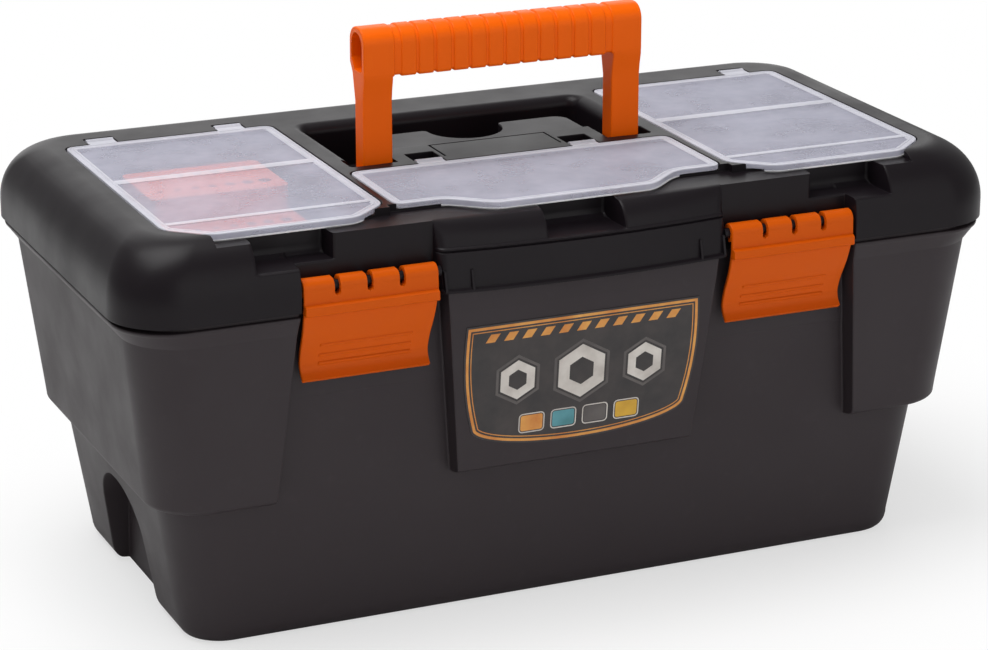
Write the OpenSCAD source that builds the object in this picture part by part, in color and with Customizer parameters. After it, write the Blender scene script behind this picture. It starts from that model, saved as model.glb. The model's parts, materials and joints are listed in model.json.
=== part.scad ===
// Hard tool case: a tapered tub, a hinged lid with organiser wells under three clear
// covers, two over-centre latches, a fold-down handle, and the loose pieces kept inside.
// X runs along the case, -Y is the front, +Z is up, and the origin is the middle of the footprint.

/* [Case] */
// Length over the lid
case_l = 490; // [420:5:560]
// Depth over the lid, without latches and hinges
case_w = 250; // [225:5:290]
// Height of the seam between tub and lid
seam_z = 182; // [165:1:210]
// Height of the lid above the seam
lid_h = 40; // [38:1:46]
// Wall of the tub and the lid
wall = 2.2; // [2:0.1:2.8]

/* [Tub] */
// Length lost to the taper between the rim and the floor, at each end
taper_x = 38.5; // [30:0.5:44]
// Depth lost to the taper between the rim and the floor, at front and back
taper_y = 30; // [24:0.5:34]
// Height of the step under the shoulders
step_z = 77; // [60:1:90]
// How far the shoulders stand out from the lower walls
shoulder_out = 8; // [6:0.5:9]
// Half width of the raised label panel at its top
panel_hx = 76.5; // [70:0.5:78]
// Depth of the arched hand recess in each end wall
arch_deep = 8; // [5:0.5:10]

/* [Covers] */
// Thickness of the clear covers
cover_t = 2.2; // [1.8:0.1:2.6]
// Depth of the rebate that the covers lie in
rebate = 3; // [2.8:0.1:3.6]
// Gap round each cover
cover_gap = 0.8; // [0.5:0.1:1]
// Outer radius of the clip barrels on the covers
cover_axis_r = 3.2; // [3:0.1:3.5]

/* [Handle] */
// Height of the upright handle above the case floor
handle_top = 294; // [288:1:298]
// Half length of the grip
grip_hx = 80; // [77:0.5:80]
// Number of ribs round the grip
grip_ribs = 12; // [8:1:14]

/* [Latches] */
// Width of each latch
latch_w = 71.6; // [60:0.2:72]
// Distance of each latch from the middle of the case
latch_x = 118; // [117:0.5:119]
// Radius of the moulded rod that a latch turns on
rod_r = 2.6; // [2.2:0.1:3]

/* [Fits] */
// Radial clearance of every pin in its bore
pin_fit = 0.05; // [0.02:0.01:0.1]
// Gap between the lid edge and the tub rim
seam_gap = 0.4; // [0.3:0.1:0.6]
// Gap between loose inserts and the walls they lift out from
lift_gap = 0.8; // [0.5:0.1:1.2]

/* [Hidden] */
$fn = 48;
eps = 0.05;

charcoal = "#2e2b2d";
orange_c = "#e8730c";
clear_c = [0.8, 0.8, 0.86, 0.45];
steel_c = "#9a9ca0";

// Case: half sizes, deck height and corners
hx = case_l / 2;
hy = case_w / 2;
deck_z = seam_z + lid_h;
corner_r = 32;
corner_n = 7;

// Tub: half sizes of the foot, the walls and the rim, and the heights between them
foot_hx = hx - taper_x;
foot_hy = hy - taper_y;
foot_edge = 9;
tub_floor = 3;
low_slope_x = 0.156;
low_slope_y = 0.08;
wall_hx = hx - 8;
wall_hy = hy - 4;
rim_hx = hx - 2;
rim_hy = hy - 1;
rim_h = 3.5;
rim_drop = 11.5;
shelf_t = 2.6;
face_z = step_z + 5;
shoulder_hx = foot_hx + low_slope_x * step_z + shoulder_out;
shoulder_hy = foot_hy + low_slope_y * step_z + shoulder_out + 1.8;
face_low_hy = shoulder_hy + 0.5;
face_slope = (wall_hy - face_low_hy) / (seam_z - rim_drop - face_z);
face_tilt = atan(face_slope);

// Tub: bays that the latches hang in, and the raised panel between them
bay_out_top = latch_x + latch_w / 2 + 1;
bay_out_low = bay_out_top + 11;
panel_low_z = step_z + 2;
panel_low_hx = panel_hx - 9.5;
catch_z = seam_z - 27;
catch_hx = 26;

// Rear hinge between tub and lid
hinge_y = hy + 6;
hinge_z = seam_z + 0.2;
hinge_x = hx - 105;
hinge_len = 66;
knuckle_r = 5;
knuckle_mid = 30;
knuckle_gap = 0.5;
pin_r = 2;

// Lid: rounded edges, and the bowed boss between the latches
lid_round_in = 24;
lid_round_h = 30;
lid_low = seam_z + seam_gap;
boss_hx = latch_x - latch_w / 2 - 1.7;
boss_hy = hy - 2.5;
boss_bow = 5.5;
boss_ledge_z = seam_z + 22;
boss_steps = 8;
bay_wall_y = -(hy - 12.5);

// Latches and the rods that carry them
rod_y = -(hy - 6);
rod_z = seam_z + 11.5;
barrel_r = rod_r + 2.4;
latch_x0 = latch_x - latch_w / 2;
latch_t = 2.2;
slot_w = 4;
rib_w = 2.4;
slot_at = [0.27, 0.51, 0.75];

// End covers: plan, clips and hinge line
cover_x0 = 97;
cover_x1 = hx - 31.5;
cover_rear = hy - 46;
cover_side_front = -(hy - 39);
cover_front = -(hy - 15.5);
cover_cut = 20;
cover_mid_y = (cover_rear + cover_side_front) / 2 + 1.5;
rebate_z = deck_z - rebate;
rebate_r = 1;
cover_z0 = rebate_z + 0.3;
bead_w = 5;
bead_h = 0.6;
tab_w = 15;
tab_in = 22;
tab_x = [cover_x0 + tab_in, cover_x1 - tab_in];
cover_pin_r = 1.5;
end_axis_y = cover_rear + 8.5;
axis_z = deck_z - 2.6;
notch_gap = 0.6;

// Centre cover: plan and hinge line
mid_hx = 92;
mid_rear = -(hy - 98.5);
mid_side_front = -(hy - 33);
mid_swell = 19;
mid_swell_x = [62, 42];
mid_tab_x = 44.5;
mid_axis_y = mid_rear + 6;

// Organiser wells and the finger pockets in front of them
well_x0 = cover_x0 + 5;
well_x1 = cover_x1 - 5;
well_y0 = cover_side_front - 6;
well_y1 = cover_rear - 7;
well_z = seam_z - 2;
mid_well_hx = mid_hx - 6;
mid_well_y0 = mid_side_front + 4;
mid_well_y1 = mid_rear - 7.5;
mid_well_z = deck_z - 20;
divider_t = 1.6;
divider_top = rebate_z - 1.5;
pocket_hx = 21;
pocket_x = (cover_x0 + cover_x1) / 2;
pocket_z = seam_z + 22.5;
pocket_back = cover_front + 11;

// Handle: pivots, legs and grip
pivot_y = mid_rear + 15;
pivot_z = deck_z - 8;
leg_x0 = grip_hx - 16.5;
leg_foot = 5.8;
stub_r = 4;
grip_front = pivot_y - 8;
grip_rear = pivot_y + 12.5;
grip_under = handle_top - 26;
grip_round = 8.5;
grip_wall = 2.2;
rib_h = 0.7;

// Recess round the folded handle, with slots at its pivots and a platform between its legs
recess_hx = grip_hx + 2;
recess_y0 = mid_rear + 8;
recess_y1 = pivot_y + handle_top - pivot_z + 2;
recess_floor = deck_z - 26;
recess_edge = 8.4;
recess_edge_r = 9;
slot_hx = recess_hx + 5.5;
slot_y1 = pivot_y + 9;
slot_floor = pivot_z - 8;
platform_z = deck_z - 1.5;
platform_hx = leg_x0 - 2.5;
platform_y1 = pivot_y + grip_under - pivot_z - 2.5;
strip_y1 = mid_rear + 33.5;
plate_hx = 33;
plate_y0 = mid_rear + 9;
plate_line = 1.2;
finger_r = 21;
finger_in = 3.5;

// Inner tray, the posts that carry it and its bow
tray_top = seam_z - 16;
tray_z0 = tray_top - 42;
tray_wall = 1.8;
tray_rim = 3;
tray_r = 28;
tray_hx = low_hx(tray_z0) - wall - lift_gap;
tray_hy = low_hy(tray_z0) - wall - lift_gap;
ledge_top = tray_z0 - 0.3;
bay_hy = 11;
bow_hx = 70;
bow_hy = 7;

// Drill-bit holder in the left well
holder_x0 = -well_x1 + 18.5;
holder_x1 = -well_x0 - 12;
holder_y0 = well_y0 + 34;
holder_y1 = well_y1 - 16;
holder_step_y = (holder_y0 + holder_y1) / 2 + 3;
holder_z = well_z + 0.3;
holder_bits = 7;

// Label on the raised panel
label_z = seam_z - 56;
label_t = 0.4;

// Half sizes of the tub wall at height z, before shoulders are added
function low_hx(z) = foot_hx + low_slope_x * z;
function low_hy(z) = foot_hy + low_slope_y * z;
// Front face of the shoulders and the panel at height z, as a distance from the middle
function face_hy(z) = face_low_hy + face_slope * (z - face_z);

// Points of a rounded rectangle with half sizes px and py, anticlockwise
function ring(px, py, r, n = corner_n) = [
    for (q = [0 : 3], i = [0 : n])
    let (a = 90 * q + 90 * i / n, sx = (q == 0 || q == 3) ? 1 : -1, sy = (q < 2) ? 1 : -1)
    [sx * (px - r) + r * cos(a), sy * (py - r) + r * sin(a)]
];

// Skin through rounded rectangles, each given as [z, half x, half y, corner radius]
module loft(rings) {
    m = 4 * (corner_n + 1);
    last = (len(rings) - 1) * m;
    points = [for (g = rings, p = ring(g[1], g[2], g[3])) [p[0], p[1], g[0]]];
    sides = [
        for (k = [0 : len(rings) - 2], i = [0 : m - 1], h = [0, 1])
        let (a = k * m + i, b = k * m + (i + 1) % m)
        h == 0 ? [a, a + m, b + m] : [a, b + m, b]
    ];
    polyhedron(
        points = points,
        faces = concat([[for (i = [0 : m - 1]) i]], sides, [[for (i = [m - 1 : -1 : 0]) last + i]])
    );
}

// Upright block with rounded corners between two opposite corners
module block(x0, x1, y0, y1, z0, z1, r = 3) {
    translate([(x0 + x1) / 2, (y0 + y1) / 2, z0])
        linear_extrude(z1 - z0)
            polygon(ring((x1 - x0) / 2, (y1 - y0) / 2, r, 4));
}

// Plain box between two opposite corners
module box(x0, x1, y0, y1, z0, z1) {
    translate([x0, y0, z0]) cube([x1 - x0, y1 - y0, z1 - z0]);
}

// Profile drawn in Y and Z, pushed along X from x0 to x1
module along_x(x0, x1) {
    translate([x0, 0, 0]) rotate([90, 0, 90]) linear_extrude(x1 - x0) children();
}

// Round rod along X through (y, z)
module rod(x0, x1, y, z, r) {
    translate([x0, y, z]) rotate([0, 90, 0]) cylinder(h = x1 - x0, r = r);
}

// Both sides of the case
module both() {
    children();
    mirror([1, 0, 0]) children();
}

// ---------- Tub ----------

// Lower body, shrunk by s all round
module tub_low(s) {
    z0 = s > 0 ? tub_floor : 0;
    loft([
        [z0, low_hx(0) - foot_edge * 0.55 - s, low_hy(0) - foot_edge * 0.55 - s, 18],
        [z0 + foot_edge * 0.3, low_hx(0) - foot_edge * 0.12 - s, low_hy(0) - foot_edge * 0.12 - s, 21],
        [z0 + foot_edge, low_hx(foot_edge) - s, low_hy(foot_edge) - s, 24],
        [seam_z + (s > 0 ? 1 : 0), low_hx(seam_z) - s, low_hy(seam_z) - s, 30]
    ]);
}

// Body at the size of the shoulders, from the step up to the rim, shrunk by s
module tub_high(s) {
    z0 = step_z + s * 0.6;
    loft([
        [z0, shoulder_hx - 4 - s, shoulder_hy - 4 - s, 24],
        [face_z + s * 0.6, shoulder_hx + 0.5 - s, face_low_hy - s, 27],
        [seam_z - rim_drop, wall_hx - s, wall_hy - s, 29],
        [seam_z + (s > 0 ? 1 : 0), wall_hx - s + (s > 0 ? 0 : 1), wall_hy - s + (s > 0 ? 0 : 0.5), 30]
    ]);
}

// Flared rim flange under the seam
module tub_rim() {
    loft([
        [seam_z - rim_drop, wall_hx - 0.5, wall_hy - 0.5, 29],
        [seam_z - rim_h, rim_hx - 0.3, rim_hy - 0.3, 31],
        [seam_z, rim_hx, rim_hy, 31]
    ]);
}

// Front and rear faces between the shoulders, where the walls step in. s widens the kept wall.
module tub_bays(s) {
    top = seam_z + 2;
    for (m = [0, 1]) mirror([0, m, 0])
        rotate([90, 0, 0])
            translate([0, 0, 60])
                linear_extrude(hy)
                    polygon([
                        [-bay_out_low + s, step_z - 10], [bay_out_low - s, step_z - 10],
                        [bay_out_top - s, top], [-bay_out_top + s, top]
                    ]);
}

// Raised panel behind the label, also at the back, shrunk by s
module tub_panel(s) {
    intersection() {
        tub_high(s);
        rotate([90, 0, 0])
            translate([0, 0, -hy - 10])
                linear_extrude(2 * hy + 20)
                    polygon([
                        [-panel_low_hx + s, panel_low_z + s], [panel_low_hx - s, panel_low_z + s],
                        [panel_hx - s, seam_z + 1], [-panel_hx + s, seam_z + 1]
                    ]);
    }
}

// Arched recess in the lower end wall, open at the bottom. g grows it by the wall.
module end_arch(g) {
    top = step_z - 15;
    half = 38;
    rise = 26;
    steps = 12;
    translate([foot_hx - arch_deep - g, 0, -1])
        rotate([90, 0, 90])
            linear_extrude(60)
                polygon(concat(
                    [[-half - g, g > 0 ? -2 : 0], [half + g, g > 0 ? -2 : 0]],
                    [for (i = [0 : steps]) let (a = 180 * i / steps)
                        [(half - 4 + g) * cos(a), top - rise + (rise + g) * sin(a)]]
                ));
}

// Outer form of the tub as a solid, or its inner void when s is the wall
module tub_form(s) {
    difference() {
        union() {
            tub_low(s);
            difference() {
                union() {
                    tub_high(s);
                    if (s == 0) tub_rim();
                }
                tub_bays(s > 0 ? -s : 0);
            }
            tub_panel(s);
            if (s == 0) bay_rims();
        }
        both() end_arch(s);
    }
}

// Rims that carry on across the bays: a thin one behind the latches, and a shelf under the lid at the rear
module bay_rims() {
    half = bay_out_top + 2;
    y = low_hy(seam_z);
    box(-half, half, -y - 0.5, -y + 3, seam_z - 6, seam_z);
    box(-half, half, y - 3, rim_hy, seam_z - shelf_t, seam_z);
}

// Posts moulded on the end walls that the inner tray rests on
module tray_posts() {
    intersection() {
        tub_low(1);
        both() for (y = [-0.6, 0.6] * tray_hy) box(tray_hx - 22, wall_hx, y - 9, y + 9, 0, ledge_top);
    }
}

// Hinge arms and knuckles, outer pair on the tub
module tub_knuckles() {
    both() for (e = [-1, 1]) {
        x0 = e < 0 ? hinge_x - hinge_len / 2 : hinge_x + knuckle_mid / 2 + knuckle_gap;
        x1 = e < 0 ? hinge_x - knuckle_mid / 2 - knuckle_gap : hinge_x + hinge_len / 2;
        rod(x0, x1, hinge_y, hinge_z, knuckle_r);
        box(x0, x1, low_hy(seam_z) - 1, hinge_y + 1, seam_z - 8, seam_z - 0.6);
    }
}

// Catch bead that each latch lip closes under
module catch_beads() {
    y = -low_hy(catch_z);
    both() along_x(latch_x - catch_hx, latch_x + catch_hx)
        polygon([
            [y + 1, catch_z - 2], [y - 1.6, catch_z - 1], [y - 1.6, catch_z + 1], [y + 1, catch_z + 3]
        ]);
}

module tub() {
    color(charcoal) difference() {
        union() {
            difference() {
                tub_form(0);
                tub_form(wall);
            }
            tray_posts();
            tub_knuckles();
            catch_beads();
        }
        both() rod(hinge_x - hinge_len / 2 - 1, hinge_x + hinge_len / 2 + 1, hinge_y, hinge_z, pin_r + pin_fit);
    }
}

// ---------- Rear hinge pins ----------

module hinge_pin() {
    color(steel_c) rod(hinge_x - hinge_len / 2, hinge_x + hinge_len / 2, hinge_y, hinge_z, pin_r);
}

module hinge_pin_left() {
    mirror([1, 0, 0]) hinge_pin();
}

module hinge_pin_right() {
    hinge_pin();
}

// ---------- Lid ----------

// Domed form of the lid, shrunk by s
module lid_form(s) {
    base = deck_z - lid_round_h;
    low = s > 0 ? lid_low - 1 : lid_low;
    arc = [for (a = [0 : 15 : 75]) a];
    loft(concat(
        [[low, hx - s, hy - s, corner_r]],
        [for (a = arc) [
            base + (lid_round_h - s) * sin(a),
            hx - s - lid_round_in * (1 - cos(a)),
            hy - s - lid_round_in * (1 - cos(a)),
            corner_r - 8 * (1 - cos(a))
        ]],
        [[deck_z - s, hx - s - lid_round_in * 0.93, hy - s - lid_round_in * 0.93, corner_r - 8]]
    ));
}

// Distance of the bowed front of the boss from the middle of the case
function bow(x) = boss_hy + boss_bow * (1 - pow(x / boss_hx, 2));

// Plan of the boss back to y, shrunk by s, with its bowed front set back further
module boss_plan(s, back, y) {
    polygon(concat(
        [[boss_hx - s, y], [-boss_hx + s, y]],
        [for (i = [0 : boss_steps]) let (x = (boss_hx - s) * (2 * i / boss_steps - 1)) [x, -bow(x) + s + back]]
    ));
}

// Boss in the middle of the lid front with its stepped round top, shrunk by s
module lid_boss(s) {
    low = lid_low - (s > 0 ? 1 : 0);
    translate([0, 0, low]) linear_extrude(boss_ledge_z - s - low) boss_plan(s, 0, -hy / 2);
    for (k = [0 : 3])
        translate([0, 0, boss_ledge_z - s - 1 + k * 4])
            linear_extrude(5)
                boss_plan(s, 2.5 + k * k * 1.3, -hy / 2);
}

// Flange and small fins along the foot of the boss
module boss_foot() {
    out = 2.6;
    flange = 1.6;
    translate([0, 0, lid_low]) linear_extrude(flange) boss_plan(0, -out, -boss_hy + 20);
    for (x = [-boss_hx + 2.5, -boss_hx + 16.5, boss_hx - 16.5, boss_hx - 2.5])
        along_x(x - 0.7, x + 0.7)
            polygon([
                [-bow(x) + 1, lid_low], [-bow(x) - out, lid_low], [-bow(x) - out, lid_low + flange],
                [-bow(x) + 1, lid_low + 10]
            ]);
}

// Bay that a latch lies in, in front of the lid wall. g grows it by the wall.
module latch_bay(g) {
    box(boss_hx - g, bay_out_top + g, -hy - 20, bay_wall_y + g, lid_low - 5, deck_z + 5);
}

// Finger pockets under the front edges of the covers
module finger_pockets(g) {
    for (x = [-pocket_x, 0, pocket_x])
        block(x - pocket_hx - g, x + pocket_hx + g, -hy - 30, pocket_back + g, pocket_z - g, deck_z + 5, 5);
}

// Organiser wells: one under each end cover, one under the centre cover
module wells(g) {
    both() block(well_x0 - g, well_x1 + g, well_y0 - g, well_y1 + g, well_z - g, deck_z + (g > 0 ? -1 : 5), 6);
    block(-mid_well_hx - g, mid_well_hx + g, mid_well_y0 - g, mid_well_y1 + g, mid_well_z - g,
        deck_z + (g > 0 ? -1 : 5), 5);
}

// Outline of the platform between the folded legs, notched for the fingers that lift the grip
module platform_outline() {
    offset(r = 4) offset(delta = -4) difference() {
        translate([-platform_hx, recess_y0 - 10])
            square([2 * platform_hx, platform_y1 - recess_y0 + 10]);
        translate([0, platform_y1 - finger_in]) circle(r = finger_r);
    }
}

// Rounded rim of the recess, at its sides and its rear. g grows it by the wall.
module recess_rim(g, top) {
    x = recess_hx + recess_edge;
    y = recess_y1 + recess_edge;
    z = deck_z - recess_edge;
    difference() {
        box(-x, x, recess_y0 - g, y, z, top);
        rod(-x - 1, x + 1, y, z, recess_edge_r - g);
        both() translate([x, recess_y0 - 5, z])
            rotate([-90, 0, 0]) cylinder(r = recess_edge_r - g, h = y - recess_y0 + 10);
    }
}

// Recess behind the centre cover that the folded handle lies in, with a rounded rim
module handle_recess(g) {
    top = deck_z + (g > 0 ? -1 : 5);
    difference() {
        union() {
            block(-recess_hx - g, recess_hx + g, recess_y0 - g, recess_y1 + g, recess_floor - g, top, 4);
            block(-slot_hx - g, slot_hx + g, recess_y0 - g, slot_y1 + g, slot_floor - g, top, 2);
            recess_rim(g, top);
        }
        translate([0, 0, recess_floor - 10])
            linear_extrude(platform_z - g - recess_floor + 10) offset(r = -g) platform_outline();
        if (g == 0) box(-platform_hx, platform_hx, recess_y0 - 10, strip_y1, platform_z - 5, deck_z + 6);
    }
    if (g == 0) difference() {
        box(-plate_hx - plate_line, plate_hx + plate_line, plate_y0, strip_y1 - 1, deck_z - 1, top);
        box(-plate_hx, plate_hx, plate_y0 - 1, strip_y1 - 1 - plate_line, deck_z - 2, top + 1);
    }
}

// Shallow rebates that the covers lie in, with a gap round each cover
module rebates() {
    both() block(cover_x0 - cover_gap, cover_x1 + cover_gap, -hy - 30, cover_rear + cover_gap,
        rebate_z, deck_z + 5, rebate_r);
    block(-mid_hx - cover_gap, mid_hx + cover_gap, -hy - 30, mid_rear + cover_gap,
        rebate_z, deck_z + 5, rebate_r);
}

// Notches behind the covers for their hinge tabs. g grows them by the wall.
module hinge_notches(g) {
    w = tab_w / 2 + notch_gap + g;
    reach = cover_axis_r + 0.8 + g;
    drop = axis_z - reach;
    top = deck_z + (g > 0 ? -1 : 5);
    both() {
        for (x = tab_x)
            box(x - w, x + w, cover_rear - 0.5 - g, end_axis_y + reach, drop, top);
        box(mid_tab_x - w, mid_tab_x + w, mid_rear - 0.5 - g, mid_rear + 20.5 + g, drop, top);
    }
}

// Moulded pins that the cover tabs clip on
module cover_pins() {
    w = tab_w / 2 + notch_gap + 0.5;
    both() {
        for (x = tab_x) rod(x - w, x + w, end_axis_y, axis_z, cover_pin_r);
        rod(mid_tab_x - w, mid_tab_x + w, mid_axis_y, axis_z, cover_pin_r);
    }
}

// Rod and three ribs that carry a latch
module latch_rod() {
    rod(boss_hx - 1, bay_out_top + 1, rod_y, rod_z, rod_r);
    for (f = slot_at)
        box(latch_x0 + latch_w * f - rib_w / 2, latch_x0 + latch_w * f + rib_w / 2,
            rod_y, bay_wall_y + 1, rod_z - 2.2, rod_z + 2.2);
}

// Partitions in the right and centre wells
module partitions() {
    third = (well_x1 - well_x0) / 3;
    for (i = [1, 2])
        box(well_x0 + i * third - divider_t / 2, well_x0 + i * third + divider_t / 2,
            well_y0 - 1, well_y1 + 1, well_z - 1, divider_top);
    box(well_x0 - 1, well_x1 + 1, cover_mid_y - divider_t / 2, cover_mid_y + divider_t / 2,
        well_z - 1, divider_top);
    for (x = [-0.5, 0, 0.5] * mid_well_hx)
        box(x - divider_t / 2, x + divider_t / 2, mid_well_y0 - 1, mid_well_y1 + 1,
            mid_well_z - 1, divider_top);
}

// Middle hinge knuckle on the lid, with its arm
module lid_knuckles() {
    x0 = hinge_x - knuckle_mid / 2;
    x1 = hinge_x + knuckle_mid / 2;
    both() {
        rod(x0, x1, hinge_y, hinge_z, knuckle_r);
        box(x0, x1, hy - 4, hinge_y + 1, seam_z + 1, hinge_z + knuckle_r);
    }
}

// Solid bosses beside the recess for the handle stubs
module pivot_bosses() {
    both() box(slot_hx + wall - 0.5, well_x0 - wall + 0.5, pivot_y - 8, pivot_y + 8, pivot_z - 8, deck_z - 3.5);
}

// Everything outside the inner void of the lid that keeps its wall
module lid_void() {
    difference() {
        union() {
            lid_form(wall);
            lid_boss(wall);
        }
        both() latch_bay(wall);
        finger_pockets(wall);
        wells(wall);
        handle_recess(wall);
        hinge_notches(wall);
        box(-hx, hx, -hy - 20, cover_rear + 2, rebate_z - wall, deck_z + 5);
    }
}

module lid_shell() {
    color(charcoal) difference() {
        union() {
            difference() {
                union() {
                    difference() {
                        union() {
                            lid_form(0);
                            lid_boss(0);
                        }
                        both() latch_bay(0);
                    }
                    wells(wall);
                    boss_foot();
                }
                lid_void();
                difference() {
                    wells(0);
                    partitions();
                }
                handle_recess(0);
                finger_pockets(0);
                rebates();
                hinge_notches(0);
            }
            cover_pins();
            both() latch_rod();
            lid_knuckles();
            pivot_bosses();
        }
        both() {
            rod(slot_hx - 1, slot_hx + 6, pivot_y, pivot_z, stub_r + pin_fit);
            rod(hinge_x - knuckle_mid / 2 - 1, hinge_x + knuckle_mid / 2 + 1, hinge_y, hinge_z, pin_r + pin_fit);
        }
    }
}

// ---------- Latches ----------

// Side view of a latch: barrel, ridge at the seam, curved plate and lip
module latch_profile() {
    top = rod_z;
    front = rod_y - barrel_r;
    outer = [
        [front, top], [front - 0.3, seam_z + 3], [front - 2.4, seam_z + 1.4], [front - 2.4, seam_z - 0.4],
        [front - 0.2, seam_z - 2.5], [front + 1.8, seam_z - 8], [front + 5.6, seam_z - 15],
        [front + 9.2, seam_z - 22], [front + 11.2, seam_z - 28], [front + 11.4, seam_z - 33],
        [front + 10, seam_z - 36], [front + 6.6, seam_z - 38]
    ];
    inner = [
        [front + 7.6, seam_z - 39.2], [front + 12, seam_z - 36.8], [front + 13.6, seam_z - 33],
        [front + 13.4, seam_z - 27.6], [front + 11.2, seam_z - 20.8], [front + 7.6, seam_z - 13.8],
        [front + 4, seam_z - 7], [front + 2.1, seam_z - 1],
        [front + latch_t, seam_z + 4], [front + latch_t, top - 1.5]
    ];
    polygon(concat(outer, inner));
}

// Open side of the barrel, which lets it clip over the rod
module barrel_mouth() {
    polygon([[rod_y, rod_z], [rod_y + 9, rod_z - 1], [rod_y + 9, rod_z - 9], [rod_y + 0.5, rod_z - 9]]);
}

module latch() {
    color(orange_c) difference() {
        union() {
            rod(latch_x0, latch_x0 + latch_w, rod_y, rod_z, barrel_r);
            along_x(latch_x0, latch_x0 + latch_w) latch_profile();
        }
        rod(latch_x0 - 1, latch_x0 + latch_w + 1, rod_y, rod_z, rod_r + pin_fit);
        along_x(latch_x0 - 1, latch_x0 + latch_w + 1) barrel_mouth();
        for (f = slot_at)
            along_x(latch_x0 + latch_w * f - slot_w / 2, latch_x0 + latch_w * f + slot_w / 2)
                polygon([
                    [rod_y - 6, rod_z - 3.4], [rod_y - 6, rod_z + 6], [rod_y + 6, rod_z + 6],
                    [rod_y + 6, rod_z - 6], [rod_y, rod_z - 6], [rod_y, rod_z - 3.4]
                ]);
    }
}

module latch_left() {
    mirror([1, 0, 0]) latch();
}

module latch_right() {
    latch();
}

// ---------- Covers ----------

// Plan of an end cover with its cut front corners, shrunk by s
module end_plan(s) {
    polygon([
        [cover_x0 + s, cover_rear - s], [cover_x0 + s, cover_side_front + s * 0.5],
        [cover_x0 + cover_cut + s * 0.5, cover_front + s], [cover_x1 - cover_cut - s * 0.5, cover_front + s],
        [cover_x1 - s, cover_side_front + s * 0.5], [cover_x1 - s, cover_rear - s]
    ]);
}

// Plan of the centre cover, whose front edge swells over its pocket, shrunk by s
module mid_plan(s) {
    steps = 6;
    swell = [
        for (i = [0 : steps]) let (f = i / steps)
        [
            mid_swell_x[0] + (mid_swell_x[1] - mid_swell_x[0]) * f,
            mid_side_front - mid_swell * (1 - cos(180 * f)) / 2
        ]
    ];
    half = concat([[mid_hx - s, mid_rear - s], [mid_hx - s, mid_side_front + s]],
        [for (p = swell) [p[0] - s * 0.4, p[1] + s]]);
    polygon(concat(half, [for (i = [len(half) - 1 : -1 : 0]) [-half[i][0], half[i][1]]]));
}

// Clip tab round a moulded pin, reaching back from the edge at y
module clip_tab(x, y, axis_y) {
    difference() {
        union() {
            rod(x - tab_w / 2, x + tab_w / 2, axis_y, axis_z, cover_axis_r);
            box(x - tab_w / 2, x + tab_w / 2, y - 1, axis_y, axis_z, axis_z + 2.4);
        }
        rod(x - tab_w, x + tab_w, axis_y, axis_z, cover_pin_r + pin_fit);
        along_x(x - tab_w, x + tab_w)
            polygon([[axis_y, axis_z], [axis_y + 1.2, axis_z - 6], [axis_y - 1.2, axis_z - 6]]);
    }
}

// Flat cover with a bead round its edge
module bead_cover() {
    translate([0, 0, cover_z0]) linear_extrude(cover_t) children(0);
    translate([0, 0, cover_z0]) linear_extrude(cover_t + bead_h) difference() {
        children(0);
        children(1);
    }
}

module cover_right() {
    color(clear_c) union() {
        bead_cover() {
            end_plan(0);
            end_plan(bead_w);
        }
        box(cover_x0 + 4, cover_x1 - 4, cover_mid_y - 4, cover_mid_y + 4, cover_z0 + 1,
            cover_z0 + cover_t + bead_h);
        box(cover_x0 + 4, cover_x1 - 4, cover_side_front - 4, cover_side_front + 1, cover_z0 + 1,
            cover_z0 + cover_t + bead_h);
        for (x = tab_x) clip_tab(x, cover_rear, end_axis_y);
    }
}

module cover_left() {
    mirror([1, 0, 0]) cover_right();
}

module cover_centre() {
    color(clear_c) union() {
        bead_cover() {
            mid_plan(0);
            mid_plan(bead_w);
        }
        both() clip_tab(mid_tab_x, mid_rear, mid_axis_y);
    }
}

// ---------- Handle ----------

// Section of the grip: flat sides, round top, shrunk by s
module grip_section(s) {
    y0 = grip_front + s;
    y1 = grip_rear - s;
    z1 = handle_top - s;
    r = grip_round - s * 0.6;
    polygon(concat(
        [[y0, grip_under + s], [y1 - 4, grip_under + s], [y1, grip_under + 7]],
        [for (a = [0 : 15 : 90]) [y1 - r + r * cos(a), z1 - r + r * sin(a)]],
        [for (a = [90 : 15 : 180]) [y0 + r + r * cos(a), z1 - r + r * sin(a)]]
    ));
}

// Side view of a leg, from the pivot up into the grip
module leg_profile() {
    polygon(concat(
        [[grip_rear, grip_under + 7], [grip_rear, grip_under + 12], [grip_front, grip_under + 12],
            [grip_front, grip_under - 1], [pivot_y - leg_foot, grip_under - 12]],
        [for (a = [180 : 20 : 360]) [pivot_y + leg_foot * cos(a), pivot_z + leg_foot * sin(a)]],
        [[pivot_y + leg_foot, grip_under - 13]]
    ));
}

module carry_handle() {
    ribbed_hx = leg_x0 - 4;
    pitch = 2 * ribbed_hx / grip_ribs;
    color(orange_c) difference() {
        union() {
            along_x(-grip_hx, grip_hx) grip_section(rib_h);
            for (i = [0 : grip_ribs - 1])
                along_x(-ribbed_hx + pitch * (i + 0.12), -ribbed_hx + pitch * (i + 0.88)) grip_section(0);
            both() {
                along_x(leg_x0, grip_hx) grip_section(0);
                along_x(leg_x0, grip_hx) leg_profile();
                rod(grip_hx - 1, slot_hx + 5, pivot_y, pivot_z, stub_r);
            }
        }
        along_x(-grip_hx - 1, grip_hx + 1) grip_section(grip_wall + rib_h);
    }
}

// ---------- Loose pieces ----------

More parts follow.
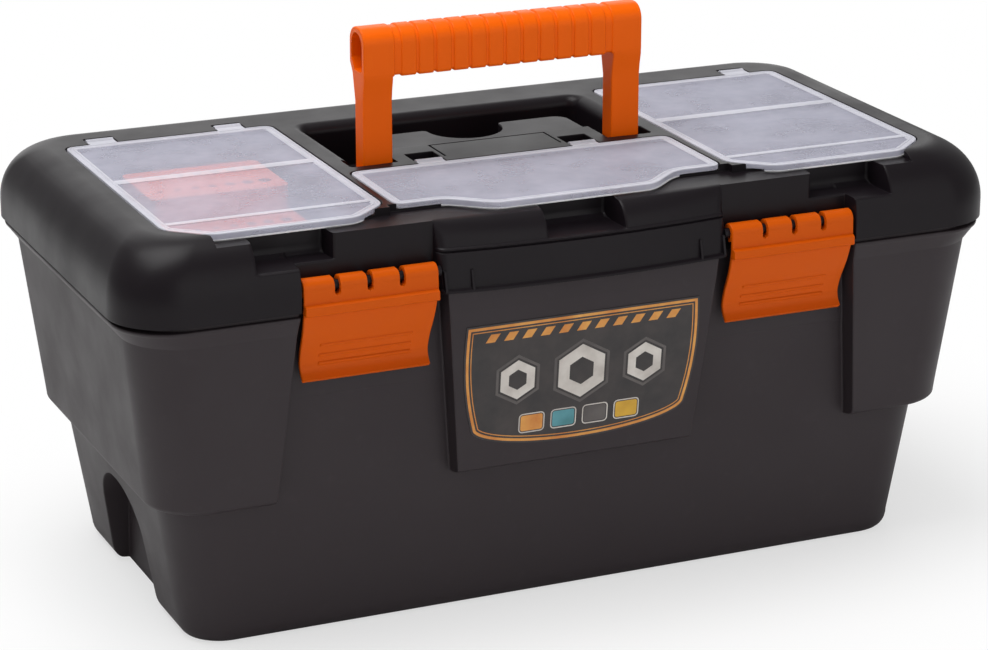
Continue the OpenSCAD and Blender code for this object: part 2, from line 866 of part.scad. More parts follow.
// Stepped drill-bit holder that lifts out of the left well: a rear and a front row block
module drill_bit_holder() {
    plate = 2.4;
    skin = 2;
    edge = 9;
    rear_top = holder_z + 30;
    front_top = holder_z + 17;
    pitch = (holder_x1 - holder_x0 - 2 * edge) / (holder_bits - 1);
    rows = [[holder_y1 - 14, 1.2], [holder_step_y + 14, 1.4], [holder_step_y - 18, 1.1], [holder_y0 + 18, 1.3]];
    color(orange_c) difference() {
        union() {
            block(holder_x0, holder_x1, holder_step_y, holder_y1, holder_z, rear_top, 4);
            block(holder_x0, holder_x1, holder_y0, holder_step_y + 4, holder_z, front_top, 4);
        }
        block(holder_x0 + skin, holder_x1 - skin, holder_step_y + skin, holder_y1 - skin,
            holder_z - 1, rear_top - plate, 3);
        block(holder_x0 + skin, holder_x1 - skin, holder_y0 + skin, holder_step_y,
            holder_z - 1, front_top - plate, 3);
        for (row = rows, i = [0 : holder_bits - 1])
            translate([holder_x0 + edge + i * pitch, row[0], holder_z]) cylinder(h = 40, r = row[1] + i * 0.35);
    }
}

// Lift-out tray that rests on the posts in the tub
module inner_tray() {
    wall_top = tray_top - 6;
    lip_z = tray_top - tray_rim;
    end_x = tray_hx / 2;
    color(charcoal) union() {
        difference() {
            loft([
                [tray_z0, tray_hx - 6, tray_hy - 4, tray_r - 4],
                [lip_z, tray_hx - 2.5, tray_hy - 1.5, tray_r - 2],
                [lip_z + eps, tray_hx, tray_hy, tray_r],
                [tray_top, tray_hx, tray_hy, tray_r]
            ]);
            loft([
                [tray_z0 + tray_wall, tray_hx - 8, tray_hy - 6, tray_r - 6],
                [tray_top + 1, tray_hx - 4.5, tray_hy - 3.5, tray_r - 4]
            ]);
        }
        for (y = [-bay_hy, bay_hy]) box(-tray_hx + 7, tray_hx - 7, y - 0.8, y + 0.8, tray_z0 + 1, wall_top);
        for (x = [-end_x, end_x], m = [-1, 1]) mirror([0, m < 0 ? 1 : 0, 0])
            box(x - 0.8, x + 0.8, bay_hy, tray_hy - 5, tray_z0 + 1, wall_top);
    }
}

// Carrying bow that stands between the two long walls of the tray
module tray_handle() {
    foot_z = tray_z0 + tray_wall + 0.1;
    outer = [[bow_hx, foot_z], [bow_hx - 8, tray_top + 3], [bow_hx - 14, tray_top + 7]];
    inner = [[bow_hx - 20, tray_top - 2], [bow_hx - 14, foot_z]];
    color(orange_c)
        rotate([90, 0, 0])
            translate([0, 0, -bow_hy])
                linear_extrude(2 * bow_hy)
                    polygon(concat(
                        outer, [for (i = [2 : -1 : 0]) [-outer[i][0], outer[i][1]]],
                        [for (i = [1, 0]) [-inner[i][0], inner[i][1]]], inner
                    ));
}

// Printed sheet on the raised panel of the tub, round along its foot
module label() {
    top = 36;
    steps = 10;
    side = [for (i = [0 : steps]) let (f = i / steps) [65.6 + 2.2 * sin(135 * f) - 6 * f * f, top - 58 * f]];
    low = [
        for (i = [1 : steps]) let (a = 90 * i / steps)
        [side[steps][0] * cos(a), side[steps][1] - 13.5 * sin(a)]
    ];
    half = concat(side, low);
    color("#3a3230")
        translate([0, -face_hy(label_z), label_z])
            rotate([90 + face_tilt, 0, 0])
                translate([0, 0, eps])
                    linear_extrude(label_t)
                        polygon(concat(half, [for (i = [len(half) - 2 : -1 : 0]) [-half[i][0], half[i][1]]]));
}

tub();
lid_shell();
hinge_pin_left();
hinge_pin_right();
latch_left();
latch_right();
cover_left();
cover_right();
cover_centre();
carry_handle();
drill_bit_holder();
inner_tray();
tray_handle();
label();
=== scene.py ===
"""Hard tool case: its looks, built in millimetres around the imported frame.

Each sub-assembly is a class that holds its sizes, builds its meshes and dresses them. Lengths are in
millimetres until a mesh is made, where MM turns them into metres.
"""

from __future__ import annotations

import json
import logging
import math
from dataclasses import dataclass
from enum import Enum
from typing import Callable, Iterable, Sequence

import bmesh
import bpy
from bpy.types import Material, Node, NodeSocket, NodeTree, Object
from mathutils import Matrix, Vector
from mathutils.geometry import intersect_point_line

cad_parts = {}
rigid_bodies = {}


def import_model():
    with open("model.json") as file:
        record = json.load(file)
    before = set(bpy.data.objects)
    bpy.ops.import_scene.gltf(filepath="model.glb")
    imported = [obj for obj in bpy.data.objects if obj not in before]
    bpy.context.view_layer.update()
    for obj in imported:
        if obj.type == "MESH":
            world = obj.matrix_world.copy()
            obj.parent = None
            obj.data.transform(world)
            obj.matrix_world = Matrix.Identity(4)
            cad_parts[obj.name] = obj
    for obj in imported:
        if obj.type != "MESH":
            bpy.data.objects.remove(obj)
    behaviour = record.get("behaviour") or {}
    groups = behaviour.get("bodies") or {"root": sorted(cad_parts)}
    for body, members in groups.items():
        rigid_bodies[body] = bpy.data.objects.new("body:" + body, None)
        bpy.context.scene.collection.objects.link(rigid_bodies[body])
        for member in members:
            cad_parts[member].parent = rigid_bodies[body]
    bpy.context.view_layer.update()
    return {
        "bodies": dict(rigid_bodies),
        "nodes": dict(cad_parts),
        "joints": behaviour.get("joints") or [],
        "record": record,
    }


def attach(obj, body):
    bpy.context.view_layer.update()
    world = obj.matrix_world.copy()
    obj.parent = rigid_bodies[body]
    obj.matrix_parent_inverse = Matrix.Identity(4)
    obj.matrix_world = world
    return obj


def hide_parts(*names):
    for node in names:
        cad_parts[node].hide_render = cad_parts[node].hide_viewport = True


LOG = logging.getLogger("tool_case")
MM = 0.001
Point2 = tuple[float, float]
Point3 = tuple[float, float, float]

# Heights and half sizes that several sub-assemblies share.
SEAM_Z = 182.0
DECK_Z = 222.0
REBATE_Z = 219.0
FRONT_Z = 217.7
HALF_L = 245.0
HALF_W = 125.0
WALL = 2.2
# Top of the cutters that are open upwards.
OPEN_Z = 230.0

# Axes that run along X, each as its Y and Z, and where along X they carry something.
HINGE = (131.0, 182.2)
HINGE_X = 140.0
LATCH_ROD = (-119.0, 193.5)
LATCH_NEAR = 82.2
LATCH_WIDTH = 71.6
LATCH_SLOTS = (0.27, 0.51, 0.75)
END_PIN = (87.5, 219.4)
END_TABS = (119.0, 191.5)
MID_PIN = (-20.5, 219.4)
MID_TAB = 44.5
HANDLE_PIVOT = (-11.5, 214.0)
KNUCKLE_R = 5.0


class Cut(Enum):
    """What a boolean does with its tools."""

    JOIN = "UNION"
    CARVE = "DIFFERENCE"


class Side(Enum):
    """Left or right half of the case, as the sign of X."""

    LEFT = -1
    RIGHT = 1


# ---------------------------------------------------------------- finishes


def linear(hex_colour: str) -> tuple[float, float, float, float]:
    """Turns an sRGB hex value into a linear colour.

    Args:
        hex_colour: Colour such as "#2e2b2d".

    Returns:
        Linear red, green, blue and an alpha of 1.
    """
    parts = [int(hex_colour[i : i + 2], 16) / 255 for i in (1, 3, 5)]
    lin = [c / 12.92 if c <= 0.04045 else ((c + 0.055) / 1.055) ** 2.4 for c in parts]
    return lin[0], lin[1], lin[2], 1.0


def per_mm(size_mm: float) -> float:
    """Returns the texture scale whose features are about this many millimetres across."""
    return 1.0 / (size_mm * MM)


def add_node(
    tree: NodeTree,
    kind: str,
    inputs: dict[str | int, object] | None = None,
    links: dict[str | int, NodeSocket] | None = None,
    **settings: object,
) -> Node:
    """Adds a node with its settings, input values and links.

    Args:
        tree: Node tree that the node goes into.
        kind: Node type, such as "ShaderNodeBump".
        inputs: Values for input sockets, by name or number.
        links: Output sockets that feed input sockets, by name or number.
        **settings: Properties of the node itself.

    Returns:
        The new node.
    """
    node = tree.nodes.new(kind)
    for key, value in settings.items():
        setattr(node, key, value)
    for key, value in (inputs or {}).items():
        node.inputs[key].default_value = value
    for key, socket in (links or {}).items():
        tree.links.new(socket, node.inputs[key])
    return node


def node_material(name: str, surface: Callable[[NodeTree, NodeSocket], NodeSocket]) -> Material:
    """Makes a material from nodes.

    Args:
        name: Name of the material.
        surface: Adds the nodes, given the tree and its Object coordinates, and returns the shader.

    Returns:
        The new material.
    """
    material = bpy.data.materials.new(name)
    material.use_nodes = True
    tree = material.node_tree
    tree.nodes.clear()
    coords = add_node(tree, "ShaderNodeTexCoord").outputs["Object"]
    add_node(tree, "ShaderNodeOutputMaterial", links={"Surface": surface(tree, coords)})
    return material


@dataclass(frozen=True)
class Finish:
    """Named finish, which carries the name of one of the record's material slots."""

    name: str
    slot: str
    colour: str

    def surface(self, tree: NodeTree, coords: NodeSocket) -> NodeSocket:
        """Adds the nodes of this finish.

        Args:
            tree: Node tree that they go into.
            coords: Object coordinates.

        Returns:
            The shader's output socket.
        """
        raise NotImplementedError


@dataclass(frozen=True)
class MouldedPlastic(Finish):
    """Injection-moulded polypropylene.

    The satin skin comes from a spark-eroded mould, so it has a fine even grain. Cooling leaves slow
    mottling in its gloss, and handling leaves a few paler scuffs. The grain is drawn at about half a
    millimetre, coarser than a real one, because it would not show otherwise.
    """

    scuff: str
    roughness: float
    grain_mm: float
    grain_depth_mm: float
    gloss: float = 0.28
    mottle_mm: float = 38.0
    scuff_mm: float = 9.0
    worn_edge_mm: float = 0.45

    def surface(self, tree: NodeTree, coords: NodeSocket) -> NodeSocket:
        """Adds the nodes of this finish.

        Args:
            tree: Node tree that they go into.
            coords: Object coordinates.

        Returns:
            The shader's output socket.
        """
        mottle, cloud, grain = (
            add_node(
                tree,
                "ShaderNodeTexNoise",
                inputs={"Scale": per_mm(size), "Detail": detail, "Roughness": 0.55},
                links={"Vector": coords},
            ).outputs[0]
            for size, detail in ((self.mottle_mm, 3.0), (self.scuff_mm, 4.0), (self.grain_mm, 1.0))
        )
        scuffs = add_node(
            tree,
            "ShaderNodeMapRange",
            inputs={"From Min": 0.60, "From Max": 0.78, "To Min": 0.0, "To Max": 0.16},
            links={"Value": cloud},
        )
        colour = add_node(
            tree,
            "ShaderNodeMix",
            data_type="RGBA",
            inputs={6: linear(self.colour), 7: linear(self.scuff)},
            links={0: scuffs.outputs["Result"]},
        )
        duller, glossier = self.roughness + 0.06, self.roughness - 0.05
        rough = add_node(
            tree,
            "ShaderNodeMapRange",
            inputs={"From Min": 0.3, "From Max": 0.7, "To Min": glossier, "To Max": duller},
            links={"Value": mottle},
        )
        worn_edge = add_node(tree, "ShaderNodeBevel", samples=4, inputs={"Radius": self.worn_edge_mm * MM})
        bump = add_node(
            tree,
            "ShaderNodeBump",
            inputs={"Strength": 0.55, "Distance": self.grain_depth_mm * MM},
            links={"Height": grain, "Normal": worn_edge.outputs["Normal"]},
        )
        return add_node(
            tree,
            "ShaderNodeBsdfPrincipled",
            inputs={"IOR": 1.49, "Specular IOR Level": self.gloss},
            links={
                "Base Color": colour.outputs[2],
                "Roughness": rough.outputs["Result"],
                "Normal": bump.outputs["Normal"],
            },
        ).outputs["BSDF"]


@dataclass(frozen=True)
class ClearPlastic(Finish):
    """Natural polypropylene sheet of the covers.

    It isn't dyed, so what lies under it shows through a milky, slightly violet haze, and its skin has
    a soft gloss with slow waves from the flow of the melt.
    """

    alpha: float
    roughness: float
    haze_mm: float = 26.0
    wave_mm: float = 42.0
    wave_depth_mm: float = 0.4

    def surface(self, tree: NodeTree, coords: NodeSocket) -> NodeSocket:
        """Adds the nodes of this finish.

        Args:
            tree: Node tree that they go into.
            coords: Object coordinates.

        Returns:
            The shader's output socket.
        """
        haze_noise, wave = (
            add_node(
                tree,
                "ShaderNodeTexNoise",
                inputs={"Scale": per_mm(size), "Detail": detail, "Roughness": 0.55},
                links={"Vector": coords},
            ).outputs[0]
            for size, detail in ((self.haze_mm, 3.0), (self.wave_mm, 1.0))
        )
        thinner, denser = self.alpha - 0.04, self.alpha + 0.05
        haze = add_node(
            tree,
            "ShaderNodeMapRange",
            inputs={"From Min": 0.3, "From Max": 0.7, "To Min": thinner, "To Max": denser},
            links={"Value": haze_noise},
        )
        bump = add_node(
            tree,
            "ShaderNodeBump",
            inputs={"Strength": 0.2, "Distance": self.wave_depth_mm * MM},
            links={"Height": wave},
        )
        return add_node(
            tree,
            "ShaderNodeBsdfPrincipled",
            inputs={
                "Base Color": linear(self.colour),
                "Roughness": self.roughness,
                "IOR": 1.49,
                "Specular IOR Level": 0.12,
            },
            links={"Alpha": haze.outputs["Result"], "Normal": bump.outputs["Normal"]},
        ).outputs["BSDF"]


@dataclass(frozen=True)
class DrawnSteel(Finish):
    """Bright drawn steel wire of the hinge pins, with fine marks along its length."""

    mark_mm: float = 0.6

    def surface(self, tree: NodeTree, coords: NodeSocket) -> NodeSocket:
        """Adds the nodes of this finish.

        Args:
            tree: Node tree that they go into.
            coords: Object coordinates.

        Returns:
            The shader's output socket.
        """
        along = add_node(
            tree, "ShaderNodeMapping", inputs={"Scale": (0.05, 1.0, 1.0)}, links={"Vector": coords}
        )
        marks = add_node(
            tree,
            "ShaderNodeTexNoise",
            inputs={"Scale": per_mm(self.mark_mm), "Detail": 2.0, "Roughness": 0.55},
            links={"Vector": along.outputs["Vector"]},
        )
        rough = add_node(
            tree,
            "ShaderNodeMapRange",
            inputs={"To Min": 0.22, "To Max": 0.42},
            links={"Value": marks.outputs[0]},
        )
        return add_node(
            tree,
            "ShaderNodeBsdfPrincipled",
            inputs={"Base Color": linear(self.colour), "Metallic": 1.0},
            links={"Roughness": rough.outputs["Result"]},
        ).outputs["BSDF"]


@dataclass(frozen=True)
class PrintedInk(Finish):
    """Solid ink on a varnished film, a little uneven where it was screened on."""

    shade: str
    roughness: float = 0.32
    screen_mm: float = 14.0

    def surface(self, tree: NodeTree, coords: NodeSocket) -> NodeSocket:
        """Adds the nodes of this finish.

        Args:
            tree: Node tree that they go into.
            coords: Object coordinates.

        Returns:
            The shader's output socket.
        """
        screen = add_node(
            tree,
            "ShaderNodeTexNoise",
            inputs={"Scale": per_mm(self.screen_mm), "Detail": 4.0, "Roughness": 0.55},
            links={"Vector": coords},
        )
        share = add_node(
            tree,
            "ShaderNodeMapRange",
            inputs={"From Min": 0.35, "From Max": 0.7},
            links={"Value": screen.outputs[0]},
        )
        colour = add_node(
            tree,
            "ShaderNodeMix",
            data_type="RGBA",
            inputs={6: linear(self.colour), 7: linear(self.shade)},
            links={0: share.outputs["Result"]},
        )
        return add_node(
            tree,
            "ShaderNodeBsdfPrincipled",
            inputs={"Roughness": self.roughness, "IOR": 1.5},
            links={"Base Color": colour.outputs[2]},
        ).outputs["BSDF"]


BODY, ORANGE_SLOT, CLEAR_SLOT, FILM = "body_plastic", "orange_plastic", "clear_plastic", "label_film"

# The tub is a dull warm charcoal. The lid is smoother, so its dome catches a soft highlight, and its darker
# base is painted shade that stands in for the shade on the lid's faces.
CHARCOAL = MouldedPlastic("charcoal_polypropylene", BODY, "#30292c", "#463e42", 0.5, 0.5, 0.03)
LID_CHARCOAL_PAINTED_SHADE = MouldedPlastic("lid_polypropylene", BODY, "#171216", "#272026", 0.38, 0.5, 0.03, 0.18)
TRAY_BLACK = MouldedPlastic("tray_polypropylene", BODY, "#201e20", "#353234", 0.5, 0.5, 0.03)
# The latches, the bow and the holder are a deep orange. The grip's brighter copy of it is painted light that
# stands in for the light that brightens the hollow grip.
ORANGE = MouldedPlastic("orange_polypropylene", ORANGE_SLOT, "#d05500", "#dc6a10", 0.38, 0.6, 0.02, 0.12)
GRIP_ORANGE_PAINTED_LIGHT = MouldedPlastic("grip_polypropylene", ORANGE_SLOT, "#f76500", "#fd7a14", 0.38, 0.6, 0.02, 0.12)
# The thin sheet shows what lies under it. Its thick beads are milkier. The lower lip is painted white, a
# painted highlight that stands in for the light that runs inside the sheet and leaves it there.
CLEAR = ClearPlastic("natural_polypropylene", CLEAR_SLOT, "#e9e9fb", 0.28, 0.46)
CLEAR_EDGE = ClearPlastic("thick_natural_polypropylene", CLEAR_SLOT, "#ececf6", 0.54, 0.4)
CLEAR_LIP_PAINTED_HIGHLIGHT = ClearPlastic("natural_polypropylene_lip", CLEAR_SLOT, "#ffffff", 0.94, 0.3)
STEEL = DrawnSteel("drawn_steel", "pin_steel", "#b4b6ba")
# The label's film is dark all over, and the other inks are screened onto it.
FILM_DARK = PrintedInk("label_dark_ink", FILM, "#231f20", "#37302f")
FILM_COPPER = PrintedInk("label_copper_ink", FILM, "#c8792c", "#e0a04c")
FILM_PALE = PrintedInk("label_pale_ink", FILM, "#d8d2cb", "#b9b1aa")
FILM_GREY = PrintedInk("label_grey_ink", FILM, "#5c5654", "#474241")
FILM_TEAL = PrintedInk("label_teal_ink", FILM, "#3f7f86", "#5596a0")
FILM_YELLOW = PrintedInk("label_yellow_ink", FILM, "#d8a92c", "#c08f20")


class Paint:
    """Keeps one Blender material for each finish."""

    _made: dict[str, Material] = {}

    @classmethod
    def of(cls, finish: Finish) -> Material:
        """Looks up a finish's material, which is made once.

        Args:
            finish: The finish.

        Returns:
            Its material.
        """
        if finish.name not in cls._made:
            cls._made[finish.name] = node_material(finish.name, finish.surface)
        return cls._made[finish.name]


# ---------------------------------------------------------------- outlines


def across(side: Side, near: float, far: float) -> Point2:
    """Returns the lowest and highest X of a span on one side, given from the middle of the case."""
    low, high = sorted((side.value * near, side.value * far))
    return low, high


def around(middle: float, half: float) -> Point2:
    """Returns the lowest and highest value of a span about its middle."""
    return middle - half, middle + half


def level(outline: Iterable[Point2], z: float) -> list[Point3]:
    """Puts a flat outline at a height."""
    return [(x, y, z) for x, y in outline]


def arc(centre: Point2, radius: float, first: float, last: float, steps: int) -> list[Point2]:
    """Draws an arc.

    Args:
        centre: Centre of the arc.
        radius: Its radius.
        first: Angle of its first point in degrees.
        last: Angle of its last point in degrees.
        steps: Number of steps between them.

    Returns:
        Its points, the first and last included.
    """
    turns = [math.radians(first + (last - first) * i / steps) for i in range(steps + 1)]
    return [(centre[0] + radius * math.cos(t), centre[1] + radius * math.sin(t)) for t in turns]


def rounded_box(half_x: float, half_y: float, corner: float, steps: int = 6) -> list[Point2]:
    """Draws a rounded rectangle about the origin.

    Args:
        half_x: Half its length along X.
        half_y: Half its length along Y.
        corner: Radius of its corners.
        steps: Number of steps round each corner.

    Returns:
        Its outline.
    """
    points: list[Point2] = []
    for quarter, (sx, sy) in enumerate(((1, 1), (-1, 1), (-1, -1), (1, -1))):
        centre = (sx * (half_x - corner), sy * (half_y - corner))
        points += arc(centre, corner, 90 * quarter, 90 * quarter + 90, steps)
    return points


def inset(outline: Sequence[Point2], distance: float) -> list[Point2]:
    """Moves a closed outline inwards along its mitred corner normals.

    Args:
        outline: The outline, either way round.
        distance: How far it moves, or less than 0 to move it outwards.

    Returns:
        The moved outline.
    """
    count = len(outline)
    area = sum(
        outline[i][0] * outline[(i + 1) % count][1] - outline[(i + 1) % count][0] * outline[i][1]
        for i in range(count)
    )
    turn = 1.0 if area > 0 else -1.0
    moved: list[Point2] = []
    for i in range(count):
        before, here, after = Vector(outline[i - 1]), Vector(outline[i]), Vector(outline[(i + 1) % count])
        first, second = (here - before).normalized(), (after - here).normalized()
        normals = [Vector((-d.y, d.x)) * turn for d in (first, second)]
        mitre = normals[0] + normals[1]
        mitre = mitre / max(mitre.length_squared / 2, 0.5)
        spot = here + mitre * distance
        moved.append((spot.x, spot.y))
    return moved


def smooth_path(points: Sequence[Point2], steps: int = 6) -> list[Point2]:
    """Draws a Catmull-Rom curve.

    Args:
        points: Points that the curve passes through.
        steps: Number of steps between each pair of them.

    Returns:
        Points along the curve.
    """
    padded = [points[0], *points, points[-1]]
    curve: list[Point2] = []
    for k in range(1, len(padded) - 2):
        a, b, c, d = (Vector(padded[k + i]) for i in (-1, 0, 1, 2))
        for i in range(steps):
            t = i / steps
            spot = 0.5 * (
                2 * b + (c - a) * t + (2 * a - 5 * b + 4 * c - d) * t * t + (3 * b - a - 3 * c + d) * t**3
            )
            curve.append((spot.x, spot.y))
    curve.append(tuple(points[-1]))
    return curve


def ramp(value: float, table: Sequence[Point2]) -> float:
    """Reads a value off a table, straight between its rows.

    Args:
        value: Input.
        table: Pairs of input and output, with rising inputs.

    Returns:
        The output, which stays level beyond the table's ends.
    """
    if value <= table[0][0]:
        return table[0][1]
    for (a, fa), (b, fb) in zip(table, table[1:]):
        if value <= b:
            return fa + (fb - fa) * (value - a) / (b - a)
    return table[-1][1]


def spread(first: float, last: float, count: int) -> list[float]:
    """Returns count values from first up to, and not including, last."""
    return [first + (last - first) * i / count for i in range(count)]


# Positions across a wall that turns from one face to another, as parts of its corner radius.
TURN_AT = (-1.0, -0.62, -0.3, -0.1, 0.1, 0.3, 0.62, 1.0)
TURN_DROP = (0.0, 0.08, 0.32, 1.0)


def turn_wall(at: float, here: float, there: float, radius: float) -> list[Point2]:
    """Draws a wall with round corners that goes from one depth to another.

    Args:
        at: Place of the wall.
        here: Depth before it.
        there: Depth after it.
        radius: Radius of both corners.

    Returns:
        Pairs of place and depth.
    """
    drop = min(radius, abs(there - here) / 2) * (1 if there > here else -1)
    depths = [here + drop * d for d in TURN_DROP] + [there - drop * d for d in reversed(TURN_DROP)]
    return [(at + radius * place, depth) for place, depth in zip(TURN_AT, depths)]


# ---------------------------------------------------------------- mesh tools


def new_object(name: str, points: Sequence[Point3], faces: Sequence[Sequence[int]]) -> Object:
    """Makes a mesh object from points in millimetres, with doubles merged and faces pointing out.

    Args:
        name: Name of the object.
        points: Corners in millimetres.
        faces: Corner numbers of each face.

    Returns:
        The new object, linked to the scene.
    """
    mesh = bpy.data.meshes.new(name)
    mesh.from_pydata([(x * MM, y * MM, z * MM) for x, y, z in points], [], [list(f) for f in faces])
    tidy = bmesh.new()
    tidy.from_mesh(mesh)
    bmesh.ops.remove_doubles(tidy, verts=tidy.verts, dist=1e-7)
    bmesh.ops.recalc_face_normals(tidy, faces=tidy.faces)
    tidy.to_mesh(mesh)
    tidy.free()
    obj = bpy.data.objects.new(name, mesh)
    bpy.context.scene.collection.objects.link(obj)
    return obj


def skin(name: str, rings: Sequence[Sequence[Point3]]) -> Object:
    """Skins a stack of closed rings and caps both ends.

    Args:
        name: Name of the object.
        rings: Rings of equal length.

    Returns:
        The closed object.
    """
    count = len(rings[0])
    faces: list[list[int]] = [list(range(count))]
    for k in range(len(rings) - 1):
        low, high = k * count, (k + 1) * count
        for i in range(count):
            j = (i + 1) % count
            faces.append([low + i, low + j, high + j, high + i])
    faces.append([(len(rings) - 1) * count + i for i in range(count)])
    return new_object(name, [p for ring in rings for p in ring], faces)


def bake(obj: Object) -> None:
    """Turns an object's modifiers into its mesh.

    Args:
        obj: Object to change.
    """
    bpy.context.view_layer.update()
    graph = bpy.context.evaluated_depsgraph_get()
    old = obj.data
    mesh = bpy.data.meshes.new_from_object(obj.evaluated_get(graph))
    obj.modifiers.clear()
    obj.data = mesh
    bpy.data.meshes.remove(old)


def combine(base: Object, tools: Sequence[Object], how: Cut) -> None:
    """Joins closed tools to a closed base, or carves them out of it, and deletes the tools.

    Args:
        base: Object to change.
        tools: Objects that change it.
        how: Whether they are joined or carved out.
    """
    holder = bpy.data.collections.new("tools")
    for tool in tools:
        holder.objects.link(tool)
    step = base.modifiers.new("combine", "BOOLEAN")
    step.operation = how.value
    step.operand_type = "COLLECTION"
    step.collection = holder
    step.solver = "MANIFOLD"
    bake(base)
    for tool in tools:
        bpy.data.objects.remove(tool)
    bpy.data.collections.remove(holder)


def join(base: Object, others: Iterable[Object]) -> None:
    """Adds the meshes of other objects to a base object and deletes them.

    Args:
        base: Object that takes the meshes.
        others: Objects that give them.
    """
    whole = bmesh.new()
    whole.from_mesh(base.data)
    for other in others:
        whole.from_mesh(other.data)
        bpy.data.objects.remove(other)
    whole.to_mesh(base.data)
    whole.free()


# Points nearer than the first are one, and points nearer to a straight edge than the second are spare.
MERGE_MM, STRAIGHT_MM = 0.002, 0.02


def drop_spare_points(obj: Object) -> None:
    """Removes the doubled points, slivers and points on straight edges that booleans leave.

    Args:
        obj: Object to clean.
    """
    tidy = bmesh.new()
    tidy.from_mesh(obj.data)
    bmesh.ops.remove_doubles(tidy, verts=tidy.verts, dist=MERGE_MM * MM)
    bmesh.ops.dissolve_degenerate(tidy, dist=MERGE_MM * MM, edges=tidy.edges)
    spare = []
    for vert in tidy.verts:
        if len(vert.link_edges) == 2:
            first, second = (edge.other_vert(vert).co for edge in vert.link_edges)
            nearest, _ = intersect_point_line(vert.co, first, second)
            if (nearest - vert.co).length < STRAIGHT_MM * MM:
                spare.append(vert)
    bmesh.ops.dissolve_verts(tidy, verts=spare)
    tidy.to_mesh(obj.data)
    tidy.free()


def soften(obj: Object, angle: float = 32.0, bevel: float = 0.0) -> None:
    """Rounds sharp edges a little and gives flat faces their true normals.

    Args:
        obj: Object to finish.
        angle: Edges that turn by more than this many degrees stay crisp.
        bevel: Width of the rounding in millimetres, or 0 for none.
    """
    drop_spare_points(obj)
    if bevel > 0:
        step = obj.modifiers.new("round_edges", "BEVEL")
        step.width = bevel * MM
        step.segments = 2
        step.limit_method = "ANGLE"
        step.angle_limit = math.radians(angle)
        step.use_clamp_overlap = True
        bake(obj)
        drop_spare_points(obj)
    mesh = obj.data
    mesh.shade_smooth()
    mesh.set_sharp_from_angle(angle=math.radians(angle))
    step = obj.modifiers.new("true_normals", "WEIGHTED_NORMAL")
    step.keep_sharp = True
    bake(obj)


def dress(obj: Object, finish: Finish, body: str, replaces: Sequence[str] = ()) -> None:
    """Gives a piece its material, its body and the nodes that it stands for.

    Args:
        obj: The finished piece.
        finish: Its finish.
        body: Body that it rides on.
        replaces: CAD nodes that it replaces.
    """
    obj.data.materials.clear()
    obj.data.materials.append(Paint.of(finish))
    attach(obj, body)
    if replaces:
        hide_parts(*replaces)
    LOG.info("%s rides on %s", obj.name, body)


def pocket(
    x: Point2,
    y: Point2,
    z: Point2,
    corner: float = 3.0,
    floor: float = 0.0,
    rim_z: float | None = None,
    rim: float = 0.9,
    draft: float = 0.0,
) -> Object:
    """Makes a block with round upright corners, a round floor edge and a flared rim.

    Args:
        x: Lowest and highest X.
        y: Lowest and highest Y.
        z: Lowest and highest Z.
        corner: Radius of the upright corners.
        floor: Radius along the floor.
        rim_z: Height of the face that the rim is rounded to, or None.
        rim: Radius of the rim.
        draft: How much narrower the block is at its floor.

    Returns:
        The closed block.
    """
    mid = ((x[0] + x[1]) / 2, (y[0] + y[1]) / 2)
    half = ((x[1] - x[0]) / 2, (y[1] - y[0]) / 2)
    quarter = [(math.sin(t), math.cos(t)) for t in (math.radians(90 * i / 4) for i in range(5))]
    levels: list[Point2] = [(-draft, z[0])]
    if floor > 0:
        levels = [(-draft - floor * (1 - sine), z[0] + floor * (1 - cosine)) for sine, cosine in quarter]
    if rim_z is None:
        levels.append((0.0, z[1]))
    else:
        levels += [(rim - rim * cosine, rim_z - rim + rim * sine) for sine, cosine in quarter]
        levels.append((rim, z[1]))
    rings = []
    for grow, height in levels:
        loop = rounded_box(half[0] + grow, half[1] + grow, max(corner + grow, 0.2))
        rings.append([(mid[0] + px, mid[1] + py, height) for px, py in loop])
    return skin("pocket", rings)


def lathe_x(
    name: str, x: Point2, centre: Point2, radius: float, edge: float = 0.0, sides: int = 40
) -> Object:
    """Makes a round bar along X with rounded rims.

    Args:
        name: Name of the object.
        x: Lowest and highest X.
        centre: Y and Z of the axis.
        radius: Radius of the bar.
        edge: Rounding of its rims.
        sides: Number of sides.

    Returns:
        The closed bar.
    """
    stations = [(x[0], radius)]
    if edge > 0:
        turns = [math.radians(30 * i) for i in range(4)]
        stations = sorted((x[0] + edge * (1 - math.sin(t)), radius - edge * (1 - math.cos(t))) for t in turns)
    stations += [(x[0] + x[1] - s, r) for s, r in reversed(stations)]
    turns = [2 * math.pi * i / sides for i in range(sides)]
    circle = [(math.cos(t), math.sin(t)) for t in turns]
    rings = [[(s, centre[0] + r * c, centre[1] + r * d) for c, d in circle] for s, r in stations]
    return skin(name, rings)


def bar_x(name: str, profile: Sequence[Point2], x: Point2, edge: float = 0.5) -> Object:
    """Pushes a profile of Y and Z along X and rounds both ends.

    Args:
        name: Name of the object.
        profile: Closed outline in Y and Z.
        x: Lowest and highest X.
        edge: Rounding of the ends.

    Returns:
        The closed bar.
    """
    steps = [(0.0, edge), (0.12 * edge, 0.52 * edge), (0.5 * edge, 0.13 * edge), (edge, 0.0)]
    if edge <= 0:
        steps = [(0.0, 0.0)]
    stations = [(x[0] + along, inwards) for along, inwards in steps]
    stations += [(x[1] - along, inwards) for along, inwards in reversed(steps)]
    rings = [[(s, py, pz) for py, pz in (inset(profile, d) if d else profile)] for s, d in stations]
    return skin(name, rings)


